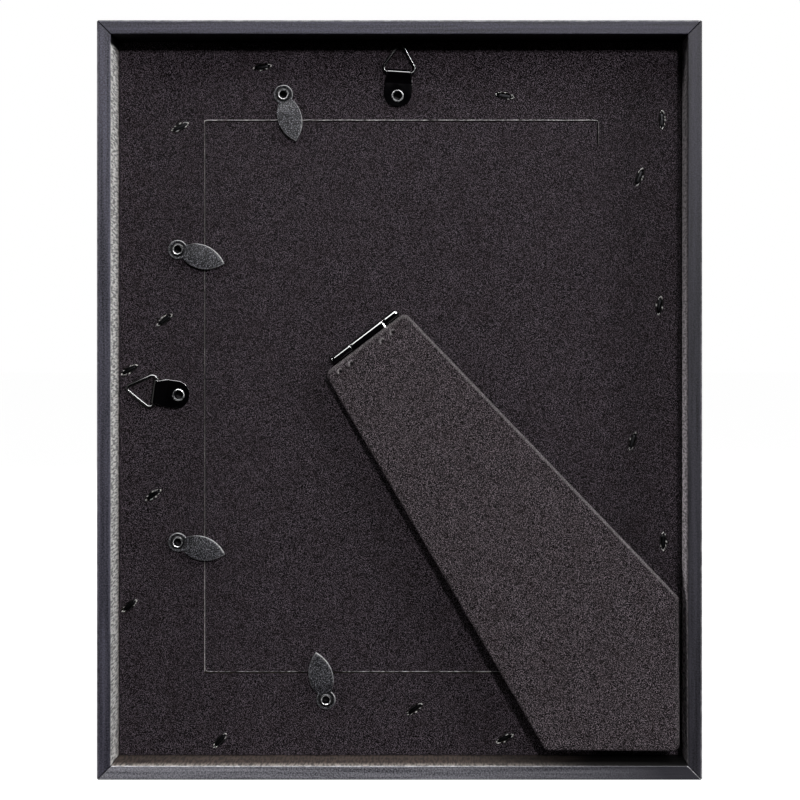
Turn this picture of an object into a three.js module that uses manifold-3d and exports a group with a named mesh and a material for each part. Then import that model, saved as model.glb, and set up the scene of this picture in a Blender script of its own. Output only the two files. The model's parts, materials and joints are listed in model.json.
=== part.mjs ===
// A small wooden picture frame with an easel back, for a 13 x 18 cm picture.
// Four mitred rails hold glass, picture and filler card; a stapled back board has a door in it,
// held shut by four turn buttons and hinged by the black paper that covers the back.
// Millimetres. The frame stands upright on its bottom rail: +Z up, the picture faces +Y and the
// back faces -Y. The origin is at the middle of the frame's foot.
// The pieces are laid out as seen from behind: x to the right, y up from the middle of the frame,
// z out of the back, from 0 on the front face of the rails.

import * as THREE from "three";
import { mergeVertices } from "three/addons/utils/BufferGeometryUtils.js";
import Module from "manifold-3d";

const wasm = await Module();
wasm.setup();

// Glass, picture and filler card
const GLASS_WIDTH = 130;
const GLASS_HEIGHT = 180;
const GLASS_THICK = 2;
const GLASS_PLAY = 0.5; // all round, in the pocket of the rails
const SHEET_THICK = 0.3;
const FILLER_THICK = 1.6;
const PACK_PLAY = 0.3; // between the filler card and the door

// Rails
const FACE_WIDTH = 38;
const REBATE_WIDTH = 5.5; // reach of the lip in front of the pocket
const LIP_THICK = 4;
const RIM_WIDTH = 4.6; // thin wall that stands up round the back
const RECESS_DEPTH = 14; // from the back rim down to the cover paper
const FRONT_ROUND = 1.2;
const SIGHT_ROUND = 0.8;
const RIM_ROUND = 0.6;
const MITRE_LINE = 0.2; // hairline left between two mitred ends

// V-nails in the mitres
const NAIL_ARM = 5;
const NAIL_THICK = 0.6;
const NAIL_DEPTH = 5;
const NAIL_PLAY = 0.3;
const NAIL_INSETS = [11, 24]; // from both outer edges of the corner

// Back board, door and cover paper
const BOARD_THICK = 2.7;
const BOARD_PLAY = 0.3; // between the board and the rim
const PAPER_THICK = 0.3;
const OPENING_OVER_WIDTH = 0.8; // how much the door's opening is wider than the glass
const OPENING_OVER_HEIGHT = 3.2;
const DOOR_SHIFT = 0.3; // the door sits a little right of the middle
const DOOR_RAISE = 0.6; // and a little above it
const DOOR_SLIT = 0.5;
const SLIT_RETURN = 8; // how far the slit turns the corners of the hinge side

// Staples
const STAPLE_CROWN = 5.2;
const STAPLE_WIDTH = 1.2;
const STAPLE_WIRE = 0.9;
const STAPLE_LEG = 8;
const STAPLE_SINK = 0.4; // crown below the paper
const STAPLE_PLAY = 0.3;
const STAPLE_MARGIN = 3.6; // nearest a crown's middle comes to the edges of the rail's seat
// Each staple: its side, its place along the rail (-1 to 1), its place across the seat
// (0 at the rim to 1 at the door) and the slope of its crown in degrees.
const STAPLES = [
  ["top", -0.49, 0.24, 9],
  ["top", 0.37, 0.7, -10],
  ["right", 0.78, 0.15, 90],
  ["right", 0.62, 0.51, 70],
  ["right", 0.26, 0.19, 82],
  ["right", -0.12, 0.62, 73],
  ["right", -0.4, 0.13, 90],
  ["bottom", 0.37, 0.1, 25],
  ["bottom", 0.05, 0.57, 36],
  ["bottom", -0.64, 0.07, 48],
  ["left", -0.58, 0, 38],
  ["left", -0.27, 0.38, 35],
  ["left", 0.08, 0, 31],
  ["left", 0.22, 0.56, 37],
  ["left", 0.76, 0.81, 25],
];

// Eyelets
const EYELET_BORE = 1.2;
const EYELET_WALL = 0.35;
const EYELET_FLANGE = 2.05;
const EYELET_LIP = 0.5;
const EYELET_PLAY = 0.2;
const FOOT_THICK = 0.4; // clinched foot, sunk into the front of the board
const SEAT_GAP = 0.1; // left where one piece is clamped on another

// Turn buttons
const BUTTON_REACH = 16.3; // from its eyelet to the tip of its leaf
const BUTTON_LEAF_WIDTH = 7.8;
const BUTTON_NECK = 4.4;
const BUTTON_RING = 3.2;
const BUTTON_THICK = 1;
const BUTTON_EDGE = 0.25;
const BUTTON_LIFT = 0.3; // above the paper
// Each button: its side of the door, its place along that side from the middle of the frame,
// its eyelet's distance from the door and how far its leaf leans from square, in degrees.
const BUTTONS = [
  { name: "top", side: "top", along: -38.7, setback: 8.9, lean: 15.6 },
  { name: "left_upper", side: "left", along: 49.3, setback: 9, lean: -17 },
  { name: "left_lower", side: "left", along: -47.5, setback: 9, lean: -13.7 },
  { name: "bottom", side: "bottom", along: -24.6, setback: 9.1, lean: 11.5 },
];

// Hangers
const STRAP_WIDTH = 9.2;
const STRAP_FOLD_WIDTH = 7.8; // at the loop that holds the ring
const STRAP_THICK = 0.5;
const STRAP_TAIL = 3.5; // past the eyelet
const STRAP_TAIL_ROUND = 3.2;
const STRAP_REACH = 7.5; // from the eyelet to the ring's bar
const STRAP_SLOPE = 30; // degrees, where the upper layer comes down from the loop
const RING_WIRE = 1.1;
const RING_PLAY = 0.3; // between the wire and the loop
const RING_HALF_BASE = 6.5; // to the sharp corners of the wire's middle line
const RING_HEIGHT = 10.5; // to the sharp tip of the wire's middle line
const RING_CORNER_BEND = 1.7;
const RING_TIP_BEND = 1;
const RING_ENDS = 0.4; // gap between the wire's ends, inside the loop
// Each hanger: its side, its place along that side from the middle of the frame, the gap from
// the tip of its ring to the rim and how far it leans from square, in degrees.
const HANGERS = [
  { name: "top", side: "top", along: -0.9, gap: 0.6, lean: -3.6 },
  { name: "side", side: "left", along: 1.2, gap: 2.4, lean: -7.8 },
];

// Easel leg
const LEG_ANGLE = 52.8; // degrees below level, as seen from behind
const LEG_TAPER = 6.65; // lean of each long side from the middle line, degrees
const LEG_TOP_LEFT = 17.6; // from the middle of the pin to the leg's upper corners
const LEG_TOP_RIGHT = 15.6;
const LEG_THICK = 3;
const LEG_EDGE = 0.7;
const LEG_ROUND = 2.4;
const LEG_TIP_ROUND = 0.8;
const LEG_FOOT_GAP_SIDE = 2.3; // from the foot to the rim, when folded
const LEG_FOOT_GAP_BOTTOM = 4.1;
const LEG_REST_OPEN = 2.6; // degrees

// Leg hinge
const HINGE_X = -12; // middle of the pin, from the middle of the door
const HINGE_Y = 19.7;
const KNUCKLE_RADIUS = 1.5;
const KNUCKLE_BORE = 0.9;
const KNUCKLE_GAP = 0.3;
const KNUCKLE_LEFT = 7.6;
const KNUCKLE_MIDDLE = 12.9;
const KNUCKLE_RIGHT = 5.4;
const LEAF_THICK = 0.7;
const LEAF_WIDTH = 24;
const LEAF_LENGTH = 9;
const LEAF_PLAY = 0.3;
const PIN_RADIUS = 0.65;
const PIN_HEAD = 1;
const PIN_HEAD_THICK = 0.4;
const LEG_TOP_GAP = 1.6; // from the pin's axis to the top edge of the leg
const RIVET_RADIUS = 0.8;
const RIVET_HEAD = 1.6;
const RIVET_HEAD_THICK = 0.5;
const RIVET_PLAY = 0.3;
const RIVET_SKIN = 0.5; // left over a leg rivet's end
const DOOR_RIVETS = { row: 5.4, spread: 4.6 }; // from the pin's axis and from the leaf's middle
const LEG_RIVETS = { row: 4.5, spread: 8.9 };

// Fineness of round shapes
const ROUND_SIDES = 16;
const WIRE_SIDES = 8;
const WIRE_STEPS = 44;
const CURVE_STEPS = 5;
const CORNER_STEPS = 3;

// Derived layers, measured from the front face
const GLASS_Z = LIP_THICK;
const SHEET_Z = GLASS_Z + GLASS_THICK;
const FILLER_Z = SHEET_Z + SHEET_THICK;
const SEAT_Z = FILLER_Z + FILLER_THICK + PACK_PLAY;
const PAPER_Z = SEAT_Z + BOARD_THICK;
const BACK_Z = PAPER_Z + PAPER_THICK;
const RIM_Z = BACK_Z + RECESS_DEPTH;

// Derived outlines
const POCKET_EDGE = FACE_WIDTH - REBATE_WIDTH;
const WIDTH = GLASS_WIDTH + 2 * (GLASS_PLAY + POCKET_EDGE);
const HEIGHT = GLASS_HEIGHT + 2 * (GLASS_PLAY + POCKET_EDGE);
const INSIDE_X = WIDTH / 2 - RIM_WIDTH;
const INSIDE_Y = HEIGHT / 2 - RIM_WIDTH;
const SEAT_WIDTH = POCKET_EDGE - RIM_WIDTH;
const OPENING_HALF_X = (GLASS_WIDTH + OPENING_OVER_WIDTH) / 2;
const OPENING_HALF_Y = (GLASS_HEIGHT + OPENING_OVER_HEIGHT) / 2;
const DOOR_HALF_X = OPENING_HALF_X - DOOR_SLIT;
const DOOR_HALF_Y = OPENING_HALF_Y - DOOR_SLIT;

// The four sides as seen from behind: the turn of the rail from the bottom one, which way is
// inwards, and the distances from the middle out to the rail, the rim and the door.
const SIDES = {
  bottom: { turn: 0, half: HEIGHT / 2, length: WIDTH, rim: INSIDE_Y, run: INSIDE_X,
    door: DOOR_HALF_Y - DOOR_RAISE },
  right: { turn: 90, half: WIDTH / 2, length: HEIGHT, rim: INSIDE_X, run: INSIDE_Y,
    door: DOOR_HALF_X + DOOR_SHIFT },
  top: { turn: 180, half: HEIGHT / 2, length: WIDTH, rim: INSIDE_Y, run: INSIDE_X,
    door: DOOR_HALF_Y + DOOR_RAISE },
  left: { turn: 270, half: WIDTH / 2, length: HEIGHT, rim: INSIDE_X, run: INSIDE_Y,
    door: DOOR_HALF_X - DOOR_SHIFT },
};

const degrees = THREE.MathUtils.degToRad;

// Materials
const material = (color, roughness, metalness) =>
  new THREE.MeshStandardMaterial({ color, roughness, metalness });
const BLACK_WOOD = material("#3b3a42", 0.5, 0);
const GREY_BOARD = material("#4a443c", 0.9, 0);
const BLACK_PAPER = material("#2e292d", 0.9, 0);
const LEG_PAPER = material("#3b3538", 0.85, 0);
const CLEAR_GLASS = material("#dfe9e6", 0.05, 0);
const WHITE_PAPER = material("#ece8de", 0.9, 0);
const BUTTON_PAINT = material("#48474d", 0.5, 0.3);
const EYELET_METAL = material("#5a5a60", 0.35, 0.8);
const BLACK_METAL = material("#17161a", 0.3, 0.6);
const STAPLE_STEEL = material("#4b4a4c", 0.4, 0.9);

// Closed three.js geometry to a solid, and back
function toSolid(geometry) {
  const bare = geometry.clone();
  bare.deleteAttribute("normal");
  bare.deleteAttribute("uv");
  const merged = mergeVertices(bare);
  const mesh = new wasm.Mesh({
    numProp: 3,
    vertProperties: merged.attributes.position.array,
    triVerts: Uint32Array.from(merged.index.array),
  });
  return new wasm.Manifold(mesh);
}

function toGeometry(solid) {
  const mesh = solid.getMesh();
  const geometry = new THREE.BufferGeometry();
  geometry.setAttribute("position", new THREE.BufferAttribute(mesh.vertProperties, 3));
  geometry.setIndex(new THREE.BufferAttribute(mesh.triVerts, 1));
  geometry.computeVertexNormals();
  return geometry;
}

function join(first, ...others) {
  const solid = others.reduce((sum, other) => sum.add(toSolid(other)), toSolid(first));
  return toGeometry(solid);
}

function cut(first, ...tools) {
  const solid = tools.reduce((rest, tool) => rest.subtract(toSolid(tool)), toSolid(first));
  return toGeometry(solid);
}

function common(first, second) {
  return toGeometry(toSolid(first).intersect(toSolid(second)));
}

// Basic shapes: a block between two heights, a plate with an outline, a round bar up the z axis
function block(width, height, low, high) {
  return new THREE.BoxGeometry(width, height, high - low).translate(0, 0, (low + high) / 2);
}

function plate(shape, low, high) {
  const options = { depth: high - low, bevelEnabled: false, curveSegments: CURVE_STEPS };
  return new THREE.ExtrudeGeometry(shape, options).translate(0, 0, low);
}

function softPlate(shape, low, high, edge) {
  const options = {
    depth: high - low - 2 * edge,
    bevelThickness: edge,
    bevelSize: edge,
    bevelOffset: -edge,
    bevelSegments: 2,
    curveSegments: CURVE_STEPS,
  };
  return new THREE.ExtrudeGeometry(shape, options).translate(0, 0, low + edge);
}

function bar(radius, low, high) {
  const geometry = new THREE.CylinderGeometry(radius, radius, high - low, ROUND_SIDES);
  return geometry.rotateX(Math.PI / 2).translate(0, 0, (low + high) / 2);
}

function barAlongX(radius, low, high) {
  return bar(radius, low, high).rotateY(Math.PI / 2);
}

// Outline through corners given as [x, y, radius], each rounded where it has a radius
function outline(corners) {
  const shape = new THREE.Shape();
  corners.forEach(([x, y, radius = 0], i) => {
    const corner = new THREE.Vector2(x, y);
    const before = new THREE.Vector2(...corners.at(i - 1)).sub(corner).normalize();
    const after = new THREE.Vector2(...corners[(i + 1) % corners.length]).sub(corner).normalize();
    const halfAngle = Math.acos(THREE.MathUtils.clamp(before.dot(after), -1, 1)) / 2;
    const back = radius / Math.tan(halfAngle);
    const start = corner.clone().addScaledVector(before, back);
    if (i === 0) shape.moveTo(start.x, start.y);
    else shape.lineTo(start.x, start.y);
    if (radius > 0) {
      const end = corner.clone().addScaledVector(after, back);
      shape.quadraticCurveTo(x, y, end.x, end.y);
    }
  });
  shape.closePath();
  return shape;
}

function rectangle(halfWidth, halfHeight, x = 0, y = 0) {
  return outline([
    [x - halfWidth, y - halfHeight],
    [x + halfWidth, y - halfHeight],
    [x + halfWidth, y + halfHeight],
    [x - halfWidth, y + halfHeight],
  ]);
}

// Scene graph: meshes and places, each in its parent's frame
function add(parent, name, geometry, look) {
  const mesh = new THREE.Mesh(geometry, look);
  mesh.name = name;
  parent.add(mesh);
  return mesh;
}

function place(parent, x, y, z, turn = 0) {
  const group = new THREE.Group();
  group.position.set(x, y, z);
  group.rotation.z = degrees(turn);
  parent.add(group);
  return group;
}

// Point on a side, so far along it and so far in from the middle of the frame
function onSide(side, along, out) {
  const across = { bottom: [along, -out], right: [out, along], top: [along, out], left: [-out, along] };
  return across[side];
}

// Cuts a tool, given in one place's frame, out of a mesh that stands in another
function drill(mesh, at, tool) {
  at.updateWorldMatrix(true, false);
  mesh.updateWorldMatrix(true, false);
  const toMesh = mesh.matrixWorld.clone().invert().multiply(at.matrixWorld);
  mesh.geometry = cut(mesh.geometry, tool.clone().applyMatrix4(toMesh));
}

const frame = new THREE.Group();
frame.position.set(0, RIM_Z / 2, HEIGHT / 2);
frame.rotation.x = Math.PI / 2;

// Rails: one profile, x inwards from the outer edge and y from the front to the back
const RAIL_PROFILE = outline([
  [0, 0, FRONT_ROUND],
  [FACE_WIDTH, 0, SIGHT_ROUND],
  [FACE_WIDTH, LIP_THICK],
  [POCKET_EDGE, LIP_THICK],
  [POCKET_EDGE, SEAT_Z],
  [RIM_WIDTH, SEAT_Z],
  [RIM_WIDTH, RIM_Z, RIM_ROUND],
  [0, RIM_Z, RIM_ROUND],
]);

// A rail lies along x with its outer edge on y = 0; each end is pulled in by as much as the
// point lies inwards, which makes the mitre.
function railGeometry(length) {
  const options = { depth: 1, bevelEnabled: false, curveSegments: CORNER_STEPS };
  const geometry = new THREE.ExtrudeGeometry(RAIL_PROFILE, options);
  const points = geometry.attributes.position;
  const pull = MITRE_LINE * Math.SQRT1_2;
  for (let i = 0; i < points.count; i++) {
    const inwards = points.getX(i);
    const end = 2 * points.getZ(i) - 1;
    points.setXYZ(i, end * (length / 2 - inwards - pull), inwards, points.getY(i));
  }
  return geometry;
}

const rails = {};
for (const [side, { turn, half, length }] of Object.entries(SIDES)) {
  const [x, y] = onSide(side, 0, half);
  const at = place(frame, x, y, 0, turn);
  rails[side] = add(at, `rail_${side}`, railGeometry(length), BLACK_WOOD);
}

// V-nails: two in each mitre, driven in from the seat, open towards the outer corner
function nailShape(arm, thick) {
  const half = thick / 2;
  return outline([
    [half, half],
    [-arm, half],
    [-arm, -half],
    [-half, -half],
    [-half, -arm],
    [half, -arm],
  ]);
}

const NAIL = plate(nailShape(NAIL_ARM, NAIL_THICK), -NAIL_DEPTH - NAIL_PLAY, -NAIL_PLAY);
const NAIL_SLOT = plate(
  nailShape(NAIL_ARM + NAIL_PLAY, NAIL_THICK + 2 * NAIL_PLAY),
  -NAIL_DEPTH - 2 * NAIL_PLAY,
  NAIL_PLAY,
);
const CORNERS = [
  { name: "bottom_left", sides: ["bottom", "left"], x: -1, y: -1, turn: 0 },
  { name: "bottom_right", sides: ["bottom", "right"], x: 1, y: -1, turn: 90 },
  { name: "top_right", sides: ["top", "right"], x: 1, y: 1, turn: 180 },
  { name: "top_left", sides: ["top", "left"], x: -1, y: 1, turn: 270 },
];
for (const corner of CORNERS) {
  NAIL_INSETS.forEach((inset, i) => {
    const x = corner.x * (WIDTH / 2 - inset);
    const y = corner.y * (HEIGHT / 2 - inset);
    const at = place(frame, x, y, SEAT_Z, corner.turn);
    add(at, `corner_nail_${corner.name}_${i + 1}`, NAIL, STAPLE_STEEL);
    for (const side of corner.sides) drill(rails[side], at, NAIL_SLOT);
  });
}

// Glass, picture sheet and filler card, stacked in the pocket behind the lip
const PACK = [
  ["glass_pane", GLASS_Z, SHEET_Z, CLEAR_GLASS],
  ["picture_sheet", SHEET_Z, FILLER_Z, WHITE_PAPER],
  ["filler_card", FILLER_Z, FILLER_Z + FILLER_THICK, GREY_BOARD],
];
for (const [name, low, high, look] of PACK) {
  add(frame, name, block(GLASS_WIDTH, GLASS_HEIGHT, low, high), look);
}

// Back board: a ring round the door; the paper covers both and is slit round three sides of
// the door, and a short way round the corners of the fourth, where it is the door's hinge
const BOARD_SHAPE = rectangle(INSIDE_X - BOARD_PLAY, INSIDE_Y - BOARD_PLAY);
const PAPER_SHAPE = BOARD_SHAPE.clone();
BOARD_SHAPE.holes.push(rectangle(OPENING_HALF_X, OPENING_HALF_Y, DOOR_SHIFT, DOOR_RAISE));
const returnY = OPENING_HALF_Y - SLIT_RETURN;
PAPER_SHAPE.holes.push(
  outline(
    [
      [OPENING_HALF_X, returnY],
      [OPENING_HALF_X, OPENING_HALF_Y],
      [-OPENING_HALF_X, OPENING_HALF_Y],
      [-OPENING_HALF_X, -OPENING_HALF_Y],
      [OPENING_HALF_X, -OPENING_HALF_Y],
      [OPENING_HALF_X, -returnY],
      [DOOR_HALF_X, -returnY],
      [DOOR_HALF_X, -DOOR_HALF_Y],
      [-DOOR_HALF_X, -DOOR_HALF_Y],
      [-DOOR_HALF_X, DOOR_HALF_Y],
      [DOOR_HALF_X, DOOR_HALF_Y],
      [DOOR_HALF_X, returnY],
    ].map(([x, y]) => [x + DOOR_SHIFT, y + DOOR_RAISE]),
  ),
);
const backBoard = add(frame, "back_board", plate(BOARD_SHAPE, SEAT_Z, PAPER_Z), GREY_BOARD);
const doorShape = rectangle(DOOR_HALF_X, DOOR_HALF_Y, DOOR_SHIFT, DOOR_RAISE);
const doorBoard = add(frame, "door_board", plate(doorShape, SEAT_Z, PAPER_Z), GREY_BOARD);
const coverPaper = add(frame, "cover_paper", plate(PAPER_SHAPE, PAPER_Z, BACK_Z), BLACK_PAPER);

// Staples: a crown sunk below the paper and two legs that end inside the rail
const STAPLE_TOP = -STAPLE_SINK;
const STAPLE_END = STAPLE_TOP - STAPLE_LEG;
const halfCrown = STAPLE_CROWN / 2;
const STAPLE = cut(
  block(STAPLE_CROWN, STAPLE_WIDTH, STAPLE_END, STAPLE_TOP),
  block(
    STAPLE_CROWN - 2 * STAPLE_WIRE,
    STAPLE_WIDTH + STAPLE_PLAY,
    STAPLE_END - STAPLE_PLAY,
    STAPLE_TOP - STAPLE_WIRE,
  ),
);
const STAPLE_SLOT = block(
  STAPLE_CROWN + 2 * STAPLE_PLAY,
  STAPLE_WIDTH + 2 * STAPLE_PLAY,
  SEAT_Z - BACK_Z - STAPLE_PLAY,
  STAPLE_PLAY,
);
const legHole = block(
  STAPLE_WIRE + 2 * STAPLE_PLAY,
  STAPLE_WIDTH + 2 * STAPLE_PLAY,
  STAPLE_END - STAPLE_PLAY,
  SEAT_Z - BACK_Z + STAPLE_PLAY,
);
const legOffset = halfCrown - STAPLE_WIRE / 2;
const STAPLE_LEG_HOLES = [-legOffset, legOffset].map((x) => legHole.clone().translate(x, 0, 0));
STAPLES.forEach(([side, along, across, slope], i) => {
  const { rim, run } = SIDES[side];
  const inwards = STAPLE_MARGIN + across * (SEAT_WIDTH - 2 * STAPLE_MARGIN);
  const [x, y] = onSide(side, along * run, rim - inwards);
  const at = place(frame, x, y, BACK_Z, slope);
  add(at, `staple_${String(i + 1).padStart(2, "0")}`, STAPLE, STAPLE_STEEL);
  drill(backBoard, at, STAPLE_SLOT);
  drill(coverPaper, at, STAPLE_SLOT);
  for (const hole of STAPLE_LEG_HOLES) drill(rails[side], at, hole);
});

// Eyelet: a tube rolled over at the top on what it holds, with a clinched foot in the board.
// Heights are from the paper; top is the height of what it clamps.
const EYELET_TUBE = EYELET_BORE + EYELET_WALL;
const EYELET_HOLE = EYELET_TUBE + EYELET_PLAY;
const FOOT_LOW = SEAT_Z - BACK_Z + SEAT_GAP;
const FOOT_HIGH = FOOT_LOW + FOOT_THICK;
function eyelet(top) {
  const low = top + SEAT_GAP;
  const high = low + EYELET_LIP;
  const roll = EYELET_LIP / 2;
  const profile = [
    [EYELET_BORE, FOOT_LOW],
    [EYELET_FLANGE, FOOT_LOW],
    [EYELET_FLANGE, FOOT_HIGH],
    [EYELET_TUBE, FOOT_HIGH],
    [EYELET_TUBE, low],
    [EYELET_FLANGE, low],
    [EYELET_FLANGE, low + roll],
    [EYELET_FLANGE - roll, high],
    [EYELET_TUBE, high],
    [EYELET_BORE, low + roll],
    [EYELET_BORE, FOOT_LOW],
  ];
  const points = profile.map(([radius, height]) => new THREE.Vector2(radius, height));
  return new THREE.LatheGeometry(points, ROUND_SIDES).rotateX(Math.PI / 2);
}

function drillForEyelet(at) {
  drill(coverPaper, at, bar(EYELET_HOLE, -PAPER_THICK - EYELET_PLAY, EYELET_PLAY));
  drill(backBoard, at, bar(EYELET_HOLE, SEAT_Z - BACK_Z - EYELET_PLAY, EYELET_PLAY));
  const foot = EYELET_FLANGE + EYELET_PLAY;
  drill(backBoard, at, bar(foot, SEAT_Z - BACK_Z - EYELET_PLAY, FOOT_HIGH + EYELET_PLAY));
}

// Turn button: a ring on its eyelet with a pointed leaf that reaches over the door
function buttonShape() {
  const neckAngle = Math.asin(BUTTON_NECK / 2 / BUTTON_RING);
  const neckX = BUTTON_RING * Math.cos(neckAngle);
  const neckY = BUTTON_NECK / 2;
  const swell = (BUTTON_LEAF_WIDTH / 2 - BUTTON_NECK / 16) / 0.75;
  const nearX = THREE.MathUtils.lerp(neckX, BUTTON_REACH, 0.26);
  const farX = THREE.MathUtils.lerp(neckX, BUTTON_REACH, 0.7);
  const shape = new THREE.Shape();
  shape.moveTo(neckX, -neckY);
  shape.bezierCurveTo(nearX, -swell, farX, -swell, BUTTON_REACH, 0);
  shape.bezierCurveTo(farX, swell, nearX, swell, neckX, neckY);
  shape.absarc(0, 0, BUTTON_RING, neckAngle, 2 * Math.PI - neckAngle, false);
  return shape;
}

const BUTTON_TOP = BUTTON_LIFT + BUTTON_THICK;
const BUTTON = cut(
  softPlate(buttonShape(), BUTTON_LIFT, BUTTON_TOP, BUTTON_EDGE),
  bar(EYELET_HOLE, BUTTON_LIFT - EYELET_PLAY, BUTTON_TOP + EYELET_PLAY),
);
const BUTTON_EYELET = eyelet(BUTTON_TOP);
for (const { name, side, along, setback, lean } of BUTTONS) {
  const { turn, door } = SIDES[side];
  const [x, y] = onSide(side, along, door + setback);
  const at = place(frame, x, y, BACK_Z, turn + 90 + lean);
  add(at, `turn_button_${name}`, BUTTON, BUTTON_PAINT);
  add(at, `button_eyelet_${name}`, BUTTON_EYELET, EYELET_METAL);
  drillForEyelet(at);
}

// Hanger strap: a strip folded round the ring's bar, both layers under one eyelet.
// It lies along x, with the eyelet on x = 0 and the bar on x = STRAP_REACH.
const LOOP_INNER = RING_WIRE / 2 + RING_PLAY;
const LOOP_OUTER = LOOP_INNER + STRAP_THICK;
const BAR_Z = LOOP_OUTER;
const STRAP_UPPER = STRAP_THICK + SEAT_GAP;
const STRAP_TOP = STRAP_UPPER + STRAP_THICK;
function strapGeometry() {
  const leave = degrees(90 + STRAP_SLOPE);
  const slope = Math.tan(degrees(STRAP_SLOPE));
  // where the upper layer, coming down from a circle round the bar, meets a height
  const landing = (radius, height) => {
    const fall = BAR_Z + radius * Math.sin(leave) - height;
    return STRAP_REACH + radius * Math.cos(leave) - fall / slope;
  };
  const side = new THREE.Shape();
  side.moveTo(-STRAP_TAIL, 0);
  side.lineTo(STRAP_REACH, 0);
  side.absarc(STRAP_REACH, BAR_Z, LOOP_OUTER, -Math.PI / 2, leave, false);
  side.lineTo(landing(LOOP_OUTER, STRAP_TOP), STRAP_TOP);
  side.lineTo(-STRAP_TAIL, STRAP_TOP);
  side.lineTo(-STRAP_TAIL, STRAP_UPPER);
  side.lineTo(landing(LOOP_INNER, STRAP_UPPER), STRAP_UPPER);
  side.absarc(STRAP_REACH, BAR_Z, LOOP_INNER, leave, -Math.PI / 2, true);
  side.lineTo(-STRAP_TAIL, STRAP_THICK);
  side.closePath();
  const strip = plate(side, -STRAP_WIDTH / 2, STRAP_WIDTH / 2).rotateX(Math.PI / 2);
  const half = STRAP_WIDTH / 2;
  const foldHalf = STRAP_FOLD_WIDTH / 2;
  const foldStart = STRAP_REACH - LOOP_OUTER;
  const end = STRAP_REACH + LOOP_OUTER + SEAT_GAP;
  const plan = outline([
    [-STRAP_TAIL, -half, STRAP_TAIL_ROUND],
    [foldStart - (half - foldHalf), -half],
    [foldStart, -foldHalf],
    [end, -foldHalf],
    [end, foldHalf],
    [foldStart, foldHalf],
    [foldStart - (half - foldHalf), half],
    [-STRAP_TAIL, half, STRAP_TAIL_ROUND],
  ]);
  const top = BAR_Z + LOOP_OUTER + SEAT_GAP;
  const strap = common(strip, plate(plan, -SEAT_GAP, top));
  return cut(strap, bar(EYELET_HOLE, -SEAT_GAP, STRAP_TOP + SEAT_GAP));
}

// Triangle ring: a bent wire whose ends meet inside the strap's loop, bar on x = 0, tip out at x
class FlatWire extends THREE.Curve {
  constructor(path) {
    super();
    this.path = path;
  }

  getPoint(share, target = new THREE.Vector3()) {
    const point = this.path.getPoint(share);
    return target.set(point.x, point.y, 0);
  }
}

function ringGeometry() {
  const corners = [
    new THREE.Vector2(0, -RING_HALF_BASE),
    new THREE.Vector2(RING_HEIGHT, 0),
    new THREE.Vector2(0, RING_HALF_BASE),
  ];
  const bends = [RING_CORNER_BEND, RING_TIP_BEND, RING_CORNER_BEND];
  const path = new THREE.Path();
  path.moveTo(0, -RING_ENDS / 2);
  corners.forEach((corner, i) => {
    const before = corners.at(i - 1).clone().sub(corner).normalize();
    const after = corners[(i + 1) % corners.length].clone().sub(corner).normalize();
    const half = Math.acos(before.dot(after)) / 2;
    const reach = bends[i] / Math.tan(half);
    const towards = before.clone().add(after).normalize();
    const centre = corner.clone().addScaledVector(towards, bends[i] / Math.sin(half));
    const start = corner.clone().addScaledVector(before, reach).sub(centre);
    const end = corner.clone().addScaledVector(after, reach).sub(centre);
    path.lineTo(centre.x + start.x, centre.y + start.y);
    path.absarc(centre.x, centre.y, bends[i], start.angle(), end.angle(), false);
  });
  path.lineTo(0, RING_ENDS / 2);
  const section = new THREE.Shape();
  section.absarc(0, 0, RING_WIRE / 2, 0, 2 * Math.PI, false);
  const options = {
    steps: WIRE_STEPS,
    extrudePath: new FlatWire(path),
    curveSegments: WIRE_SIDES / 2,
  };
  return new THREE.ExtrudeGeometry(section, options);
}

const STRAP = strapGeometry();
const RING = ringGeometry();
const HANGER_EYELET = eyelet(STRAP_TOP);
const halfTip = Math.atan(RING_HALF_BASE / RING_HEIGHT);
const RING_TIP = RING_HEIGHT - RING_TIP_BEND * (1 / Math.sin(halfTip) - 1) + RING_WIRE / 2;
for (const { name, side, along, gap, lean } of HANGERS) {
  const { turn, rim } = SIDES[side];
  const [x, y] = onSide(side, along, rim - gap - RING_TIP - STRAP_REACH);
  const at = place(frame, x, y, BACK_Z, turn - 90 + lean);
  add(at, `hanger_strap_${name}`, STRAP, BLACK_METAL);
  add(at, `hanger_eyelet_${name}`, HANGER_EYELET, EYELET_METAL);
  add(place(at, STRAP_REACH, 0, BAR_Z), `hanger_ring_${name}`, RING, BLACK_METAL);
  drillForEyelet(at);
}

// Leg hinge: x runs along the pin, -y down the leg, z out of the back from the pin's axis
const hingeTurn = 90 - LEG_ANGLE;
const hinge = place(
  frame,
  HINGE_X + DOOR_SHIFT,
  HINGE_Y + DOOR_RAISE,
  BACK_Z + KNUCKLE_RADIUS,
  hingeTurn,
);
const swing = new THREE.Group();
swing.rotation.x = -degrees(LEG_REST_OPEN);
hinge.add(swing);

const barrelEnd = (KNUCKLE_LEFT + KNUCKLE_MIDDLE + KNUCKLE_RIGHT) / 2 + KNUCKLE_GAP;
const leftKnuckle = [-barrelEnd, KNUCKLE_LEFT - barrelEnd];
const rightKnuckle = [barrelEnd - KNUCKLE_RIGHT, barrelEnd];
const middleKnuckle = [leftKnuckle[1] + KNUCKLE_GAP, rightKnuckle[0] - KNUCKLE_GAP];
const legLeafX = (middleKnuckle[0] + middleKnuckle[1]) / 2;
const plateStart = KNUCKLE_RADIUS + LEAF_PLAY;

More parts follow.
